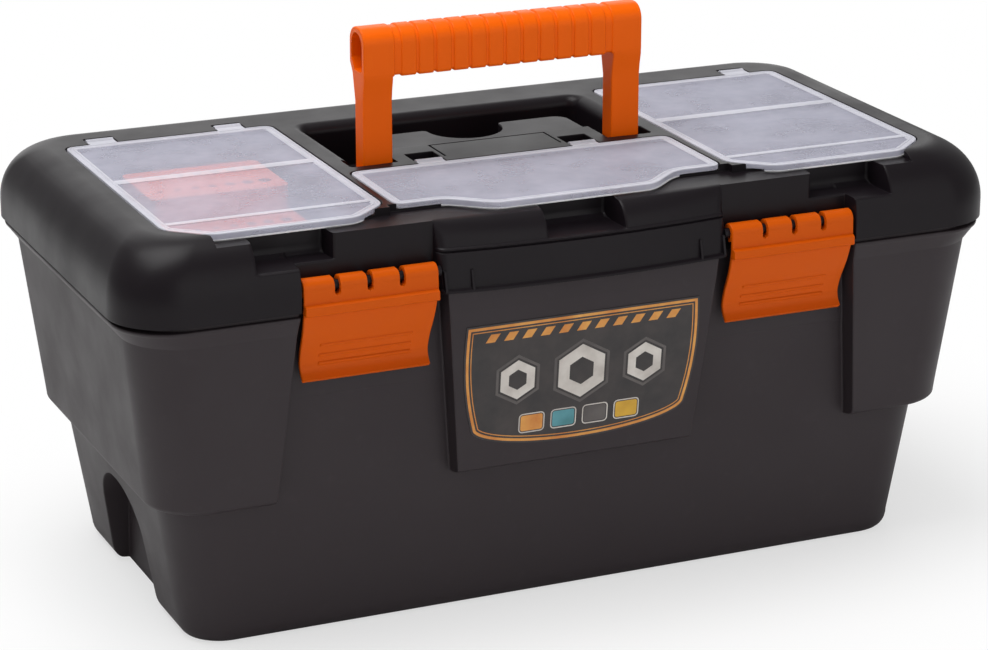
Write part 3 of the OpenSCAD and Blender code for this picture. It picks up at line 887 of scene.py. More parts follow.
def refine_node(frame: dict, node: str, name: str, bevel: float, flat_angle: float = 0.6) -> Object:
    """Copies a CAD node, merges its loose triangles and rounds its edges.

    Args:
        frame: The loaded frame.
        node: CAD node to copy.
        name: Name of the copy.
        bevel: Rounding in millimetres.
        flat_angle: Faces that turn by less than this many degrees become one.

    Returns:
        The finished copy.
    """
    obj = bpy.data.objects.new(name, frame["nodes"][node].data.copy())
    bpy.context.scene.collection.objects.link(obj)
    tidy = bmesh.new()
    tidy.from_mesh(obj.data)
    bmesh.ops.remove_doubles(tidy, verts=tidy.verts, dist=MERGE_MM * MM)
    bmesh.ops.dissolve_limit(tidy, angle_limit=math.radians(flat_angle), verts=tidy.verts, edges=tidy.edges)
    tidy.to_mesh(obj.data)
    tidy.free()
    soften(obj, 30.0, bevel)
    return obj


def repeat_in_row(
    shape: Object, name: str, count: int, start: float, pitch: float, finish: Finish
) -> Object:
    """Repeats a shape along X with Geometry Nodes and returns the row as a plain mesh.

    Args:
        shape: Shape to repeat. It is deleted.
        name: Name of the row.
        count: Number of copies.
        start: X of the first copy in millimetres.
        pitch: Distance between copies in millimetres.
        finish: Finish that the row takes.

    Returns:
        The row of copies.
    """
    tree = bpy.data.node_groups.new("row_of_ribs", "GeometryNodeTree")
    sockets = {
        "Geometry": "NodeSocketGeometry",
        "Shape": "NodeSocketObject",
        "Count": "NodeSocketInt",
        "Start": "NodeSocketVector",
        "Pitch": "NodeSocketVector",
        "Finish": "NodeSocketMaterial",
    }
    ids = {
        label: tree.interface.new_socket(label, in_out="INPUT", socket_type=kind).identifier
        for label, kind in sockets.items()
    }
    tree.interface.new_socket("Geometry", in_out="OUTPUT", socket_type="NodeSocketGeometry")
    entry = add_node(tree, "NodeGroupInput").outputs
    line = add_node(
        tree,
        "GeometryNodeMeshLine",
        mode="OFFSET",
        links={"Count": entry["Count"], "Start Location": entry["Start"], "Offset": entry["Pitch"]},
    )
    part = add_node(tree, "GeometryNodeObjectInfo", links={"Object": entry["Shape"]})
    placed = add_node(
        tree,
        "GeometryNodeInstanceOnPoints",
        links={"Points": line.outputs["Mesh"], "Instance": part.outputs["Geometry"]},
    )
    solid = add_node(tree, "GeometryNodeRealizeInstances", links={"Geometry": placed.outputs["Instances"]})
    dressed = add_node(
        tree,
        "GeometryNodeSetMaterial",
        links={"Geometry": solid.outputs["Geometry"], "Material": entry["Finish"]},
    )
    add_node(tree, "NodeGroupOutput", links={"Geometry": dressed.outputs["Geometry"]})
    row = bpy.data.objects.new(name, bpy.data.meshes.new(name))
    bpy.context.scene.collection.objects.link(row)
    step = row.modifiers.new("row_of_ribs", "NODES")
    step.node_group = tree
    step[ids["Shape"]] = shape
    step[ids["Count"]] = count
    step[ids["Start"]] = (start * MM, 0.0, 0.0)
    step[ids["Pitch"]] = (pitch * MM, 0.0, 0.0)
    step[ids["Finish"]] = Paint.of(finish)
    bake(row)
    bpy.data.objects.remove(shape)
    return row


# ---------------------------------------------------------------- tub


@dataclass
class Tub:
    """Tapered tub with shoulders, a raised panel at front and back, and arched end recesses."""

    foot: Point2 = (206.5, 95.0)
    slope: Point2 = (0.156, 0.08)
    foot_edge: float = 9.0
    foot_round: float = 5.0
    step_z: float = 76.6
    full_z: float = 82.0
    corner: tuple[Point2, ...] = ((0.0, 19.0), (9.0, 24.0), (76.0, 26.0), (83.0, 28.0), (182.0, 31.0))
    wall_turn: float = 1.2
    flare_z: tuple[float, ...] = (170.5, 171.0, 177.6, 178.4, 179.2, 179.8, 180.1, 180.25, 182.0)
    # Half width of the raised panel at its foot, and what it gains over a rise.
    panel_low: float = 79.0
    panel_x: float = 67.0
    panel_gain: Point2 = (9.5, 104.0)
    # Half width of the front bay at its foot, and what it loses over a rise.
    bay_low: float = 67.0
    bay_x: float = 165.8
    bay_loss: Point2 = (11.0, 117.0)
    # End arch: depth, top, height at which its sides turn round, and half widths there and below.
    arch_x: float = 198.5
    arch_top: float = 62.0
    arch_spring: float = 36.0
    arch_half: float = 34.0
    arch_foot: float = 38.0
    # Fine step round the lower body.
    line_out: float = 0.35
    line_z: Point2 = (131.8, 132.4)
    post_x: float = 201.0
    post_y: float = 61.1
    post_half: float = 9.0
    shelf_x: float = 156.0
    shelf_y: Point2 = (106.6, 123.4)
    shelf_z: float = 179.4
    bead_x: Point2 = (92.0, 144.0)
    knuckles_x: tuple[Point2, Point2] = ((107.0, 124.5), (155.5, 173.0))

    def low(self, axis: int, z: float) -> float:
        """Measures the lower body.

        Args:
            axis: 0 along X or 1 along Y.
            z: Height.

        Returns:
            Half its size there.
        """
        rise = max(z, 0.0)
        round_in = 0.0
        if rise < self.foot_edge:
            part = (self.foot_edge - rise) / self.foot_edge
            round_in = self.foot_round * (1 - math.sqrt(1 - part**2))
        return self.foot[axis] + self.slope[axis] * rise - round_in

    def high(self, axis: int, z: float, inner: bool) -> float:
        """Measures the shouldered body, whose outer face flares below the seam and has a groove there.

        Args:
            axis: 0 along X or 1 along Y.
            z: Height.
            inner: Whether the inner face is meant, which has no flare.

        Returns:
            Half its size there.
        """
        if axis == 0:
            face = [(82.0, 227.0), (170.5, 237.0), (182.0, 238.0)]
            stand = (0.0, 0.5, 4.6, 5.3, 5.4, 5.2, 4.7, 1.6, 1.4)
        else:
            face = [(82.0, 111.46), (170.5, 121.0), (182.0, 121.6)]
            stand = (0.0, 0.2, 1.9, 2.4, 2.5, 2.3, 1.9, 0.2, 0.1)
        return ramp(z, face) + (0.0 if inner else ramp(z, list(zip(self.flare_z, stand))))

    @staticmethod
    def swell(z: float, start: float, full: float) -> float:
        """Measures how much of a ledge stands out, as a quarter round.

        Args:
            z: Height.
            start: Height where the ledge starts.
            full: Height where it is full.

        Returns:
            Its share, from 0 to 1.
        """
        if z <= start:
            return 0.0
        if z >= full:
            return 1.0
        return math.sqrt(1 - ((full - z) / (full - start)) ** 2)

    def arch(self, z: float, grow: float) -> float:
        """Measures the end arch.

        Args:
            z: Height.
            grow: How much larger than the outer face's arch it is.

        Returns:
            Half its width there. Above the arch it widens again, to spread the points of the wall.
        """
        top = self.arch_top + grow
        if z >= top:
            return min(0.8 + (z - top) * 1.6, 30.0)
        if z <= self.arch_spring:
            drawn_in = (self.arch_foot - self.arch_half) * (z + 1) / (self.arch_spring + 1)
            return self.arch_foot - drawn_in + grow
        reach = (z - self.arch_spring) / (top - self.arch_spring)
        return max((self.arch_half + grow) * math.sqrt(max(1 - reach * reach, 0.0)), 0.8)

    def quarter(self, z: float, thin: float) -> list[Point2]:
        """Draws one quarter of the wall, from the front middle to the end middle.

        Args:
            z: Height.
            thin: How far the outline lies inside the outer face.

        Returns:
            Points with X and Y counted from the middle of the case.
        """
        inner = thin > 0
        lift = thin * 0.6
        stand = self.swell(z, self.step_z + lift, self.full_z + lift)
        panel = self.swell(z, self.panel_low + lift, self.full_z + lift)
        low_x, low_y = self.low(0, z) - thin, self.low(1, z) - thin
        if not inner:
            low_y += self.line_out * self.swell(z, *self.line_z)
        full_x, full_y = self.high(0, z, inner) - thin, self.high(1, z, inner) - thin
        face_y = self.high(1, z, True) - thin
        end_x = low_x + (full_x - low_x) * stand
        side_y = low_y + (full_y - low_y) * stand
        panel_y = low_y + (face_y - low_y) * panel
        corner = ramp(z, self.corner) - thin * 0.4
        gain, rise = self.panel_gain
        panel_x = self.panel_x + gain * max(z - self.panel_low, 0.0) / rise - thin
        loss, rise = self.bay_loss
        bay_x = self.bay_x - max(z - self.bay_low, 0.0) * loss / rise + thin
        turn = self.wall_turn
        points = [(x, panel_y) for x in spread(0.0, panel_x - turn, 6)]
        points += turn_wall(panel_x, panel_y, low_y, turn)
        points += [(x, low_y) for x in spread(panel_x + turn, bay_x - turn, 8)[1:]]
        points += turn_wall(bay_x, low_y, side_y, turn)
        points += [(x, side_y) for x in spread(bay_x + turn, end_x - corner, 5)[1:]]
        points += arc((end_x - corner, side_y - corner), corner, 90, 0, 16)
        half = self.arch(z, thin)
        depth = end_x if z >= self.arch_top + thin else min(self.arch_x - thin, end_x)
        edge = min(1.0, half * 0.8)
        points += [(end_x, y) for y in spread(side_y - corner, half + edge, 9)[1:]]
        points += [(deep, 2 * half - place) for place, deep in turn_wall(half, end_x, depth, edge)]
        points += [(depth, y) for y in spread(half - edge, 0.0, 5)[1:]]
        points.append((depth, 0.0))
        return points

    def ring(self, z: float, thin: float) -> list[Point3]:
        """Draws the whole wall at one height.

        Args:
            z: Height.
            thin: How far the outline lies inside the outer face.

        Returns:
            The closed outline.
        """
        part = self.quarter(z, thin)
        loop = [(x, -y, z) for x, y in part]
        loop += [(x, y, z) for x, y in reversed(part[:-1])]
        loop += [(-x, y, z) for x, y in part[1:]]
        loop += [(-x, -y, z) for x, y in reversed(part[1:-1])]
        return loop

    def shell(self) -> Object:
        """Makes the thin-walled shell, up its outer face and down its inner one.

        Returns:
            The closed shell.
        """
        outer = [0, 0.25, 0.9, 2.0, 3.4, 5.0, 7.0, 9.0, 16, 24, 32, 36, 41, 46, 50, 53, 55.5, 57.5, 59, 60.2]
        outer += [61, 61.6, 61.97, 62.03, 66, 71, 75.6, 76.55, 76.62, 76.75, 77.1, 77.7, 78.4, 78.97, 79.05]
        outer += [79.3, 79.8, 80.6, 81.4, 82, 88, 98, 110, 122, 131.5, 131.9, 132.1, 132.5, 142, 152, 162]
        outer += [169.5, 170.4, 170.7, 171.2, 174, 177.2, 177.8, 178.3, 178.8, 179.2, 179.8, 180.1]
        outer += [180.25, SEAM_Z]
        inner = [182, 176, 170.5, 160, 140, 120, 100, 88, 83.4, 82.4, 81.4, 80.6, 80.2, 79.2, 78.4, 78.0]
        inner += [77.9, 76, 70, 64.25, 64.15, 63.4, 62, 60, 57, 53, 48, 42, 36, 28, 20, 14, 9, 6, 4.4, 3.5, 3]
        rings = [self.ring(z, 0.0) for z in outer]
        rings += [self.ring(z, WALL) for z in inner]
        return skin("tub_moulding", rings)

    def tray_post(self, side: Side, y: float) -> list[Object]:
        """Makes a post that the tray stands on, in a lower and an upper part.

        Args:
            side: Half of the case that it stands in.
            y: Its middle.

        Returns:
            Both parts.
        """
        rings = []
        for z in (2.0, 5.0, 9.0, 30.0, 55.0, 84.0):
            reach = self.low(0, min(z, 76.0)) - 1.0
            loop = rounded_box((reach - self.post_x) / 2, self.post_half, 1.5)
            rings.append([(side.value * (reach + self.post_x) / 2 + px, y + py, z) for px, py in loop])
        upper = pocket(across(side, self.post_x, 222.0), around(y, self.post_half), (83.6, 123.7), 1.5)
        return [skin("tray_post", rings), upper]

    def details(self) -> list[Object]:
        """Makes the rear shelf, posts for the tray, catch beads and hinge knuckles.

        Returns:
            The closed parts.
        """
        bead = [(-106.3, 153.0), (-108.9, 154.0), (-109.0, 155.0), (-108.9, 156.0), (-106.3, 158.0)]
        arm = [(108.0, 174.0), (132.0, 178.0), (132.0, 181.2), (108.0, 181.2)]
        parts = [pocket(around(0.0, self.shelf_x), self.shelf_y, (self.shelf_z, SEAM_Z), 1.0)]
        for side in Side:
            for y in (-self.post_y, self.post_y):
                parts += self.tray_post(side, y)
            parts.append(bar_x("catch_bead", bead, across(side, *self.bead_x), 0.5))
            for span in self.knuckles_x:
                x = across(side, *span)
                parts.append(lathe_x("knuckle", x, HINGE, KNUCKLE_R, 0.6))
                parts.append(bar_x("knuckle_arm", arm, x, 0.4))
        return parts

    def build(self) -> None:
        """Builds the tub and puts it in place of its node."""
        shell = self.shell()
        combine(shell, self.details(), Cut.JOIN)
        bores = [lathe_x("bore", around(side.value * HINGE_X, 34), HINGE, 2.05) for side in Side]
        combine(shell, bores, Cut.CARVE)
        soften(shell, 30.0)
        dress(shell, CHARCOAL, "tub_body", ["tub"])


# ---------------------------------------------------------------- lid


@dataclass
class Lid:
    """Domed lid with latch bays, a bowed front boss, finger pockets, wells and a handle recess."""

    round_in: float = 24.0
    round_h: float = 30.0
    corner: float = 32.0
    boss_x: float = 80.5
    boss_y: float = 122.5
    boss_back: float = 110.0
    boss_r: float = 5.0
    boss_round: float = 204.2
    bow: float = 5.5
    lean: float = 0.14
    # The boss's toe, the ledge over its face and the bead on that, each by height.
    toe: tuple[Point2, ...] = ((182.9, 2.4), (183.6, 2.0), (184.1, 0.5), (184.4, 0.0))
    ledge: tuple[Point2, ...] = ((201.9, 0.0), (202.1, 0.1), (202.3, 1.3), (202.6, 1.5))
    bead: tuple[Point2, ...] = ((202.6, 0.0), (203.1, 0.8), (203.5, 1.0), (203.9, 0.9), (204.6, 0.0))
    bay_y: float = 112.5
    bay_x: float = 154.8
    pocket_mid: float = 155.25
    pocket_half: float = 21.0
    pocket_y: float = 98.5
    well_x: Point2 = (102.0, 208.5)
    well_y: Point2 = (-92.0, 72.0)
    well_z: float = 180.0
    mid_well_y: Point2 = (-88.0, -34.0)
    mid_well_z: float = 202.0
    rib_z: float = 217.5
    tabs: Point3 = (MID_TAB, *END_TABS)
    rod_x: Point2 = (79.5, 155.8)
    knuckle_x: Point2 = (125.0, 155.0)
    pivot_x: Point2 = (89.2, 100.3)
    fins_x: Point2 = (78.0, 64.0)

    def dome(self, z: float, thin: float) -> float:
        """Measures the rounded upper edge.

        Args:
            z: Height.
            thin: How far the outline lies inside the outer face.

        Returns:
            How far the wall lies inside the lid's full size.
        """
        rise = (z - (DECK_Z - self.round_h)) / (self.round_h - thin)
        rise = min(max(rise, 0.0), 1.0)
        return thin + self.round_in * (1 - math.sqrt(1 - rise * rise))

    def boss(self, x: float, z: float, thin: float) -> float:
        """Measures the front of the boss, with its foot, its ledge and the bead over that.

        Args:
            x: Place along the case.
            z: Height.
            thin: How far the outline lies inside the outer face.

        Returns:
            Its distance from the middle of the case.
        """
        bowed = self.boss_y + self.bow * (1 - (x / self.boss_x) ** 2) - thin
        lean = self.lean * (max(z, SEAM_Z) - SEAM_Z)
        ledge = ramp(z, self.ledge)
        ledge -= ramp(z, self.bead)
        rise = min(max(z - self.boss_round, 0.0) / (FRONT_Z - self.boss_round), 1.0)
        face = bowed - lean - ledge
        fall = (face + thin - self.boss_back) * (1 - math.sqrt(1 - rise * rise))
        toe = 0.0 if thin else ramp(z, self.toe)
        return face - fall + toe

    def pocket_share(self, z: float, thin: float) -> float:
        """Measures how far a finger pocket is open.

        Args:
            z: Height.
            thin: How far the outline lies inside the outer face.

        Returns:
            Its share, from 0 below its round lip to 1.
        """
        lip = [(203.5, 0.0), (203.9, 0.008), (204.3, 0.035), (204.5, 0.08), (204.62, 0.74), (204.9, 0.82)]
        lip += [(205.3, 0.88), (206.6, 0.97), (208.2, 1.0)]
        return ramp(z + thin, lip)

    def half(self, z: float, thin: float) -> list[Point2]:
        """Draws the right half of the wall, from the front middle to the rear middle.

        Args:
            z: Height.
            thin: How far the outline lies inside the outer face.

        Returns:
            Points in X and Y.
        """
        lost = self.dome(z, thin)
        end_x, side_y = HALF_L - lost, HALF_W - lost
        corner = self.corner - 8.0 * (lost - thin) / self.round_in - thin * 0.5
        share = self.pocket_share(z, thin)
        back = self.pocket_y - thin
        bay = min(self.bay_y - thin, side_y)

        def sunk(wall: float) -> float:
            """Returns the depth of a wall where a finger pocket cuts it."""
            return wall + (min(back, wall) - wall) * share

        def bossed(x: float) -> float:
            """Returns the depth of the boss."""
            return min(self.boss(x, z, thin), side_y + 40.0)

        edge, nook = 0.9, 2.2
        mid = self.pocket_half + thin
        boss_x = self.boss_x - thin
        first, last = self.pocket_mid - self.pocket_half - thin, self.pocket_mid + self.pocket_half + thin
        bay_x = self.bay_x + thin
        # The boss, with its finger pocket and its round end.
        pts = [(x, sunk(bossed(x))) for x in spread(0.0, mid - nook, 4)]
        pts += turn_wall(mid, sunk(bossed(mid)), bossed(mid), nook)
        pts += [(x, bossed(x)) for x in spread(mid + nook, boss_x - self.boss_r, 10)[1:]]
        tip = bossed(boss_x - self.boss_r)
        stand = tip - bay
        convex = min(self.boss_r, max(abs(stand) - 1.0, abs(stand) * 0.6)) * (1 if stand > 0 else -1)
        for turn in range(0, 91, 15):
            t = math.radians(turn)
            # The small slant keeps the points apart where the arc runs straight back.
            x = boss_x - self.boss_r * (1 - math.sin(t)) + turn * 0.0005
            pts.append((x, tip - convex * (1 - math.cos(t))))
        left = tip - convex - bay
        pts += [(boss_x + 0.1, bay + left * 0.5), (boss_x + 0.3, bay + left * 0.12), (boss_x + edge, bay)]
        # The latch bay, and the finger pocket that starts in it and ends in the front beyond it.
        pts += [(x, bay) for x in spread(boss_x + edge, first - nook, 6)[1:]]
        pts += turn_wall(first, bay, sunk(bay), nook)
        pts += [(x, sunk(bay)) for x in spread(first + nook, bay_x - edge, 4)[1:]]
        pts += turn_wall(bay_x, sunk(bay), sunk(side_y), edge)
        pts += [(x, sunk(side_y)) for x in spread(bay_x + edge, last - nook, 4)[1:]]
        pts += turn_wall(last, sunk(side_y), side_y, nook)
        pts += [(x, side_y) for x in spread(last + nook, end_x - corner, 4)[1:]]
        # The end and the back.
        outline = [(x, -y) for x, y in pts]
        outline += arc((end_x - corner, -(side_y - corner)), corner, -90, 0, 20)
        outline += [(end_x, y) for y in spread(-(side_y - corner), side_y - corner, 10)[1:]]
        outline += arc((end_x - corner, side_y - corner), corner, 0, 90, 20)
        outline += [(x, side_y) for x in spread(end_x - corner, 0.0, 10)[1:]]
        outline.append((0.0, side_y))
        return outline

    def outline(self, z: float, thin: float) -> list[Point2]:
        """Draws the whole wall at one height.

        Args:
            z: Height.
            thin: How far the outline lies inside the outer face.

        Returns:
            The closed outline.
        """
        half = self.half(z, thin)
        return half + [(-x, y) for x, y in reversed(half[1:-1])]

    def outer_form(self) -> Object:
        """Makes the solid with the lid's outer face, whose lowest edge is drawn in a little.

        Returns:
            The closed solid.
        """
        rows = [182.55, 182.9, 183.6, 183.9, 184.1, 184.4, 187, 190, 192, 194.6, 197, 199.4, 201.2]
        rows += [201.9, 202.1, 202.3, 202.6, 203.1, 203.5, 203.9, 204.3, 204.5, 204.62, 204.9, 205.3, 206.6]
        rows += [208.2, 209.8, 211.3, 212.8, 214.2, 215.2, 216.0, 216.6, 217.1, 217.7, 218.8, 219.6, 220.3]
        rows += [220.9, 221.35, 221.7, 221.92, 222.0]
        low_z = 182.4
        low = level(inset(self.outline(low_z, 0.0), 0.35), low_z)
        return skin("lid_moulding", [low, *(level(self.outline(z, 0.0), z) for z in rows)])

    def well_block(self, side: Side, top: float, floor: float) -> Object:
        """Makes the block round the wells at one end, which hangs into the lid.

        Args:
            side: End of the case.
            top: Height of its top.
            floor: Radius along its floor.

        Returns:
            The closed block.
        """
        x = across(side, self.well_x[0] - WALL, self.well_x[1] + WALL)
        y = (self.well_y[0] - WALL, self.well_y[1] + WALL)
        return pocket(x, y, (self.well_z - WALL, top), 8.0, floor)

    def hollow(self) -> Object:
        """Makes the void under the lid's wall, less the wells, pockets and recesses that hang into it.

        Returns:
            The closed void.
        """
        rows = [179.0, 184, 192, 196, 199.5, 201.6, 202.2, 202.35, 202.7, 203.2, 206, 209, 212, 214.4]
        rows += [216.2, 217.6, 218.6, 219.3, 219.8]
        void = skin("void", [level(self.outline(z, WALL), z) for z in rows])
        top = 221.0
        keep = [
            pocket((-250, 250), (-160, 81), (REBATE_Z - WALL, 240), 3.0),
            pocket((-250, 250), (-160, -88), (FRONT_Z - WALL, 240), 3.0),
            *(self.well_block(side, top, 2.0) for side in Side),
            pocket((-88.2, 88.2), (-90.2, -31.8), (199.8, top), 7.0, floor=1.5),
            self.basin(WALL, top),
            pocket((-89.7, 89.7), (-20.7, -0.3), (203.8, top), 4.0, floor=1.5),
        ]
        combine(void, keep, Cut.CARVE)
        combine(void, [self.platform(WALL, (190.0, 218.3), -24.0)], Cut.JOIN)
        notches = [self.tab_notch(side, tab, WALL, top) for side in Side for tab in self.tabs]
        combine(void, notches, Cut.CARVE)
        return void

    def tab_notch(self, side: Side, tab: float, grow: float, top: float) -> Object:
        """Makes the notch round the hinge tab of a cover.

        Args:
            side: Half of the case that it lies in.
            tab: Middle of the tab.
            grow: How much larger than the notch the block is all round.
            top: Height of its top.

        Returns:
            The closed block.
        """
        y = (-27.0, -6.0) if tab == MID_TAB else (78.5, END_PIN[0] + 4.0)
        x = (side.value * tab - 8.1 - grow, side.value * tab + 8.1 + grow)
        rim_z = None if grow else DECK_Z
        return pocket(x, (y[0] - grow, y[1] + grow), (215.4 - grow, top), 0.8, 0.4, rim_z, 0.4)

    def basin(self, grow: float, top: float) -> Object:
        """Makes the recess of the folded handle, whose rim is rounded at its sides and rear.

        Args:
            grow: How much larger than the recess the block is.
            top: Height of its top.

        Returns:
            The closed block.
        """
        low, rim_r, foot_r = 196.0 - grow, 6.0, 1.5
        edge = rim_r - grow
        levels: list[Point2] = []
        for turn in range(0, 91, 18):
            t = math.radians(turn)
            levels.append((grow - foot_r * (1 - math.sin(t)), low + foot_r * (1 - math.cos(t))))
        for turn in range(0, 91, 10):
            t = math.radians(turn)
            levels.append((grow + edge * (1 - math.cos(t)), DECK_Z - rim_r + edge * math.sin(t)))
        levels.append((levels[-1][0], top))
        rings = []
        for out, z in levels:
            y0, y1 = -18.5 - min(out, grow), 70.5 + out
            loop = rounded_box(82.0 + out, (y1 - y0) / 2, 5.0 + out, 8)
            rings.append([(x, y + (y0 + y1) / 2, z) for x, y in loop])
        return skin("basin", rings)

    def platform(self, less: float, z: Point2, front: float) -> Object:
        """Makes the platform between the folded legs, with a notch for the fingers.

        Args:
            less: How much smaller than the platform the block is all round.
            z: Lowest and highest Z.
            front: Its lowest Y.

        Returns:
            The closed block.
        """
        half_x, rear, corner = 61.0 - less, 40.0 - less, 8.0
        notch, notch_y, lip = 21.0 + less, 36.5, 3.0
        right: list[Point2] = [(half_x, front)]
        right += arc((half_x - corner, rear - corner), corner, 0, 90, 8)
        middle = notch_y - rear + lip
        start = math.asin(middle / (notch + lip))
        lip_x = (notch + lip) * math.cos(start)
        for i in range(7):
            turn = math.pi / 2 + (math.pi / 2 + start) * i / 6
            right.append((lip_x + lip * math.cos(turn), rear - lip + lip * math.sin(turn)))
        for i in range(1, 12):
            turn = start - (start + math.pi / 2) * i / 12
            right.append((notch * math.cos(turn), notch_y + notch * math.sin(turn)))
        outline = right + [(0.0, notch_y - notch)] + [(-x, y) for x, y in reversed(right)]
        edge = 0.0 if less else 0.9
        levels = [(0.0, z[0]), (0.0, z[1] - edge)]
        if edge:
            levels += [(0.1 * edge, z[1] - 0.55 * edge), (0.45 * edge, z[1] - 0.12 * edge), (edge, z[1])]
        return skin("platform", [level(inset(outline, d), high) for d, high in levels])

    def handle_recess(self) -> list[Object]:
        """Makes the cutters of the handle's recess: basin, pivot slots and the line round the plate.

        Returns:
            The closed cutters.
        """
        basin = self.basin(0.0, OPEN_Z)
        slots = [
            pocket(x, (-18.5, -2.5), (206.0, OPEN_Z), 2.0, 0.5, DECK_Z, 0.5)
            for x in ((-87.5, -70.0), (70.0, 87.5))
        ]
        combine(basin, slots, Cut.JOIN)
        strip = pocket((-61.0, 61.0), (-30.0, 7.0), (190.0, 240.0), 0.3)
        combine(basin, [self.platform(0.0, (190.0, 220.5), -30.0), strip], Cut.CARVE)
        line = pocket((-34.2, 34.2), (-17.5, 6.0), (221.0, OPEN_Z), 0.5)
        plate = pocket((-33.0, 33.0), (-30.0, 4.8), (218.0, 232.0), 0.5)
        combine(line, [plate], Cut.CARVE)
        return [basin, line]

    def well_floors(self) -> list[Object]:
        """Makes the compartments of the wells, each a pocket with round corners.

        Returns:
            The closed cutters.
        """
        cuts: list[Object] = []
        rib, over_rib = self.rib_z, (self.rib_z - 0.6, OPEN_Z)
        third = (self.well_x[1] - self.well_x[0]) / 3
        for i in range(3):
            x0 = self.well_x[0] + i * third + (0.0 if i == 0 else 0.8)
            x1 = self.well_x[0] + (i + 1) * third - (0.0 if i == 2 else 0.8)
            for y in ((self.well_y[0], -2.8), (-1.2, self.well_y[1])):
                cuts.append(pocket((x0, x1), y, (self.well_z, rib), 5.0, 3.0, rib, 0.5, 0.4))
            cuts.append(pocket((x0 - 1, x1 + 1), self.well_y, over_rib, 5.0))
        cuts.append(pocket((-self.well_x[1], -self.well_x[0]), self.well_y, (self.well_z, OPEN_Z), 6.0, 3.0))
        for x in ((-86.0, -43.8), (-42.2, -0.8), (0.8, 42.2), (43.8, 86.0)):
            cuts.append(pocket(x, self.mid_well_y, (self.mid_well_z, rib), 4.0, 3.0, rib, 0.5, 0.4))
        cuts.append(pocket((-86.0, 86.0), self.mid_well_y, over_rib, 4.0))
        return cuts

    def top_cuts(self) -> list[Object]:
        """Makes the cutters of the covers' rebates, their tabs' notches and the lowered front deck.

        Returns:
            The closed cutters.
        """
        cuts: list[Object] = []
        for side in Side:
            cuts.append(skin("rebate", end_cover(side).rebate(REBATE_Z, DECK_Z)))
            cuts += [self.tab_notch(side, tab, 0.0, OPEN_Z) for tab in self.tabs]
        cuts.append(skin("rebate", centre_cover().rebate(REBATE_Z, DECK_Z)))
        cuts.append(pocket((-96.5, 96.5), (-160.0, -90.4), (FRONT_Z, OPEN_Z), 0.5, 0.4))
        front = [(90.0, -94.8), (205.4, -94.8), (194.4, -104.6), (194.0, -160.0), (90.0, -160.0)]
        for side in Side:
            outline = [(side.value * x, y) for x, y in front]
            cuts.append(skin("front_step", [level(outline, z) for z in (FRONT_Z, OPEN_Z)]))
        return cuts

    def added_parts(self) -> list[Object]:
        """Makes the pins, rods, webs, knuckles, pivot bosses and fins that stand on the shell.

        Returns:
            The closed parts.
        """
        web = [(-119.0, 191.3), (-119.0, 195.7), (-111.5, 195.7), (-111.5, 191.3)]
        arm = [(121.0, 183.0), (132.0, 183.0), (132.0, 187.1), (129.0, 189.0), (121.0, 189.0)]
        parts: list[Object] = []
        for side in Side:
            for tab, pin in (*((tab, END_PIN) for tab in END_TABS), (MID_TAB, MID_PIN)):
                parts.append(lathe_x("cover_pin", around(side.value * tab, 8.6), pin, 1.5, sides=20))
            parts.append(lathe_x("latch_rod", across(side, *self.rod_x), LATCH_ROD, 2.6, sides=32))
            for share in LATCH_SLOTS:
                mid = side.value * (LATCH_NEAR + LATCH_WIDTH * share)
                parts.append(bar_x("rod_web", web, around(mid, 1.2), 0.3))
            x = across(side, *self.knuckle_x)
            parts.append(lathe_x("lid_knuckle", x, HINGE, KNUCKLE_R, 0.6))
            parts.append(bar_x("lid_arm", arm, x, 0.4))
            parts.append(pocket(across(side, *self.pivot_x), (-19.5, -3.5), (206.0, 218.5), 1.0))
            for fin in self.fins_x:
                front = -self.boss(fin, 186.0, 0.0)
                edge = [(front + 2, 182.6), (front - 2.3, 182.6), (front - 2.3, 183.8)]
                edge += [(front + 0.2, 193.5), (front + 2, 193.5)]
                parts.append(bar_x("boss_fin", edge, around(side.value * fin, 0.7), 0.2))
        return parts

    def build(self) -> None:
        """Builds the lid and puts it in place of its node."""
        lid = self.outer_form()
        combine(lid, [self.well_block(side, 215.0, 2.0) for side in Side], Cut.JOIN)
        for cutters in ([self.hollow()], self.well_floors(), self.top_cuts(), self.handle_recess()):
            combine(lid, cutters, Cut.CARVE)
        combine(lid, self.added_parts(), Cut.JOIN)
        bores = [lathe_x("bore", around(side.value * HINGE_X, 16), HINGE, 2.05) for side in Side]
        bores += [lathe_x("stub_bore", around(side.value * 90.0, 3.5), HANDLE_PIVOT, 4.05) for side in Side]
        combine(lid, bores, Cut.CARVE)
        soften(lid, 30.0)
        # The lid takes the darker charcoal, whose extra darkness is painted shade.
        dress(lid, LID_CHARCOAL_PAINTED_SHADE, "lid_body", ["lid_shell"])


# ---------------------------------------------------------------- covers


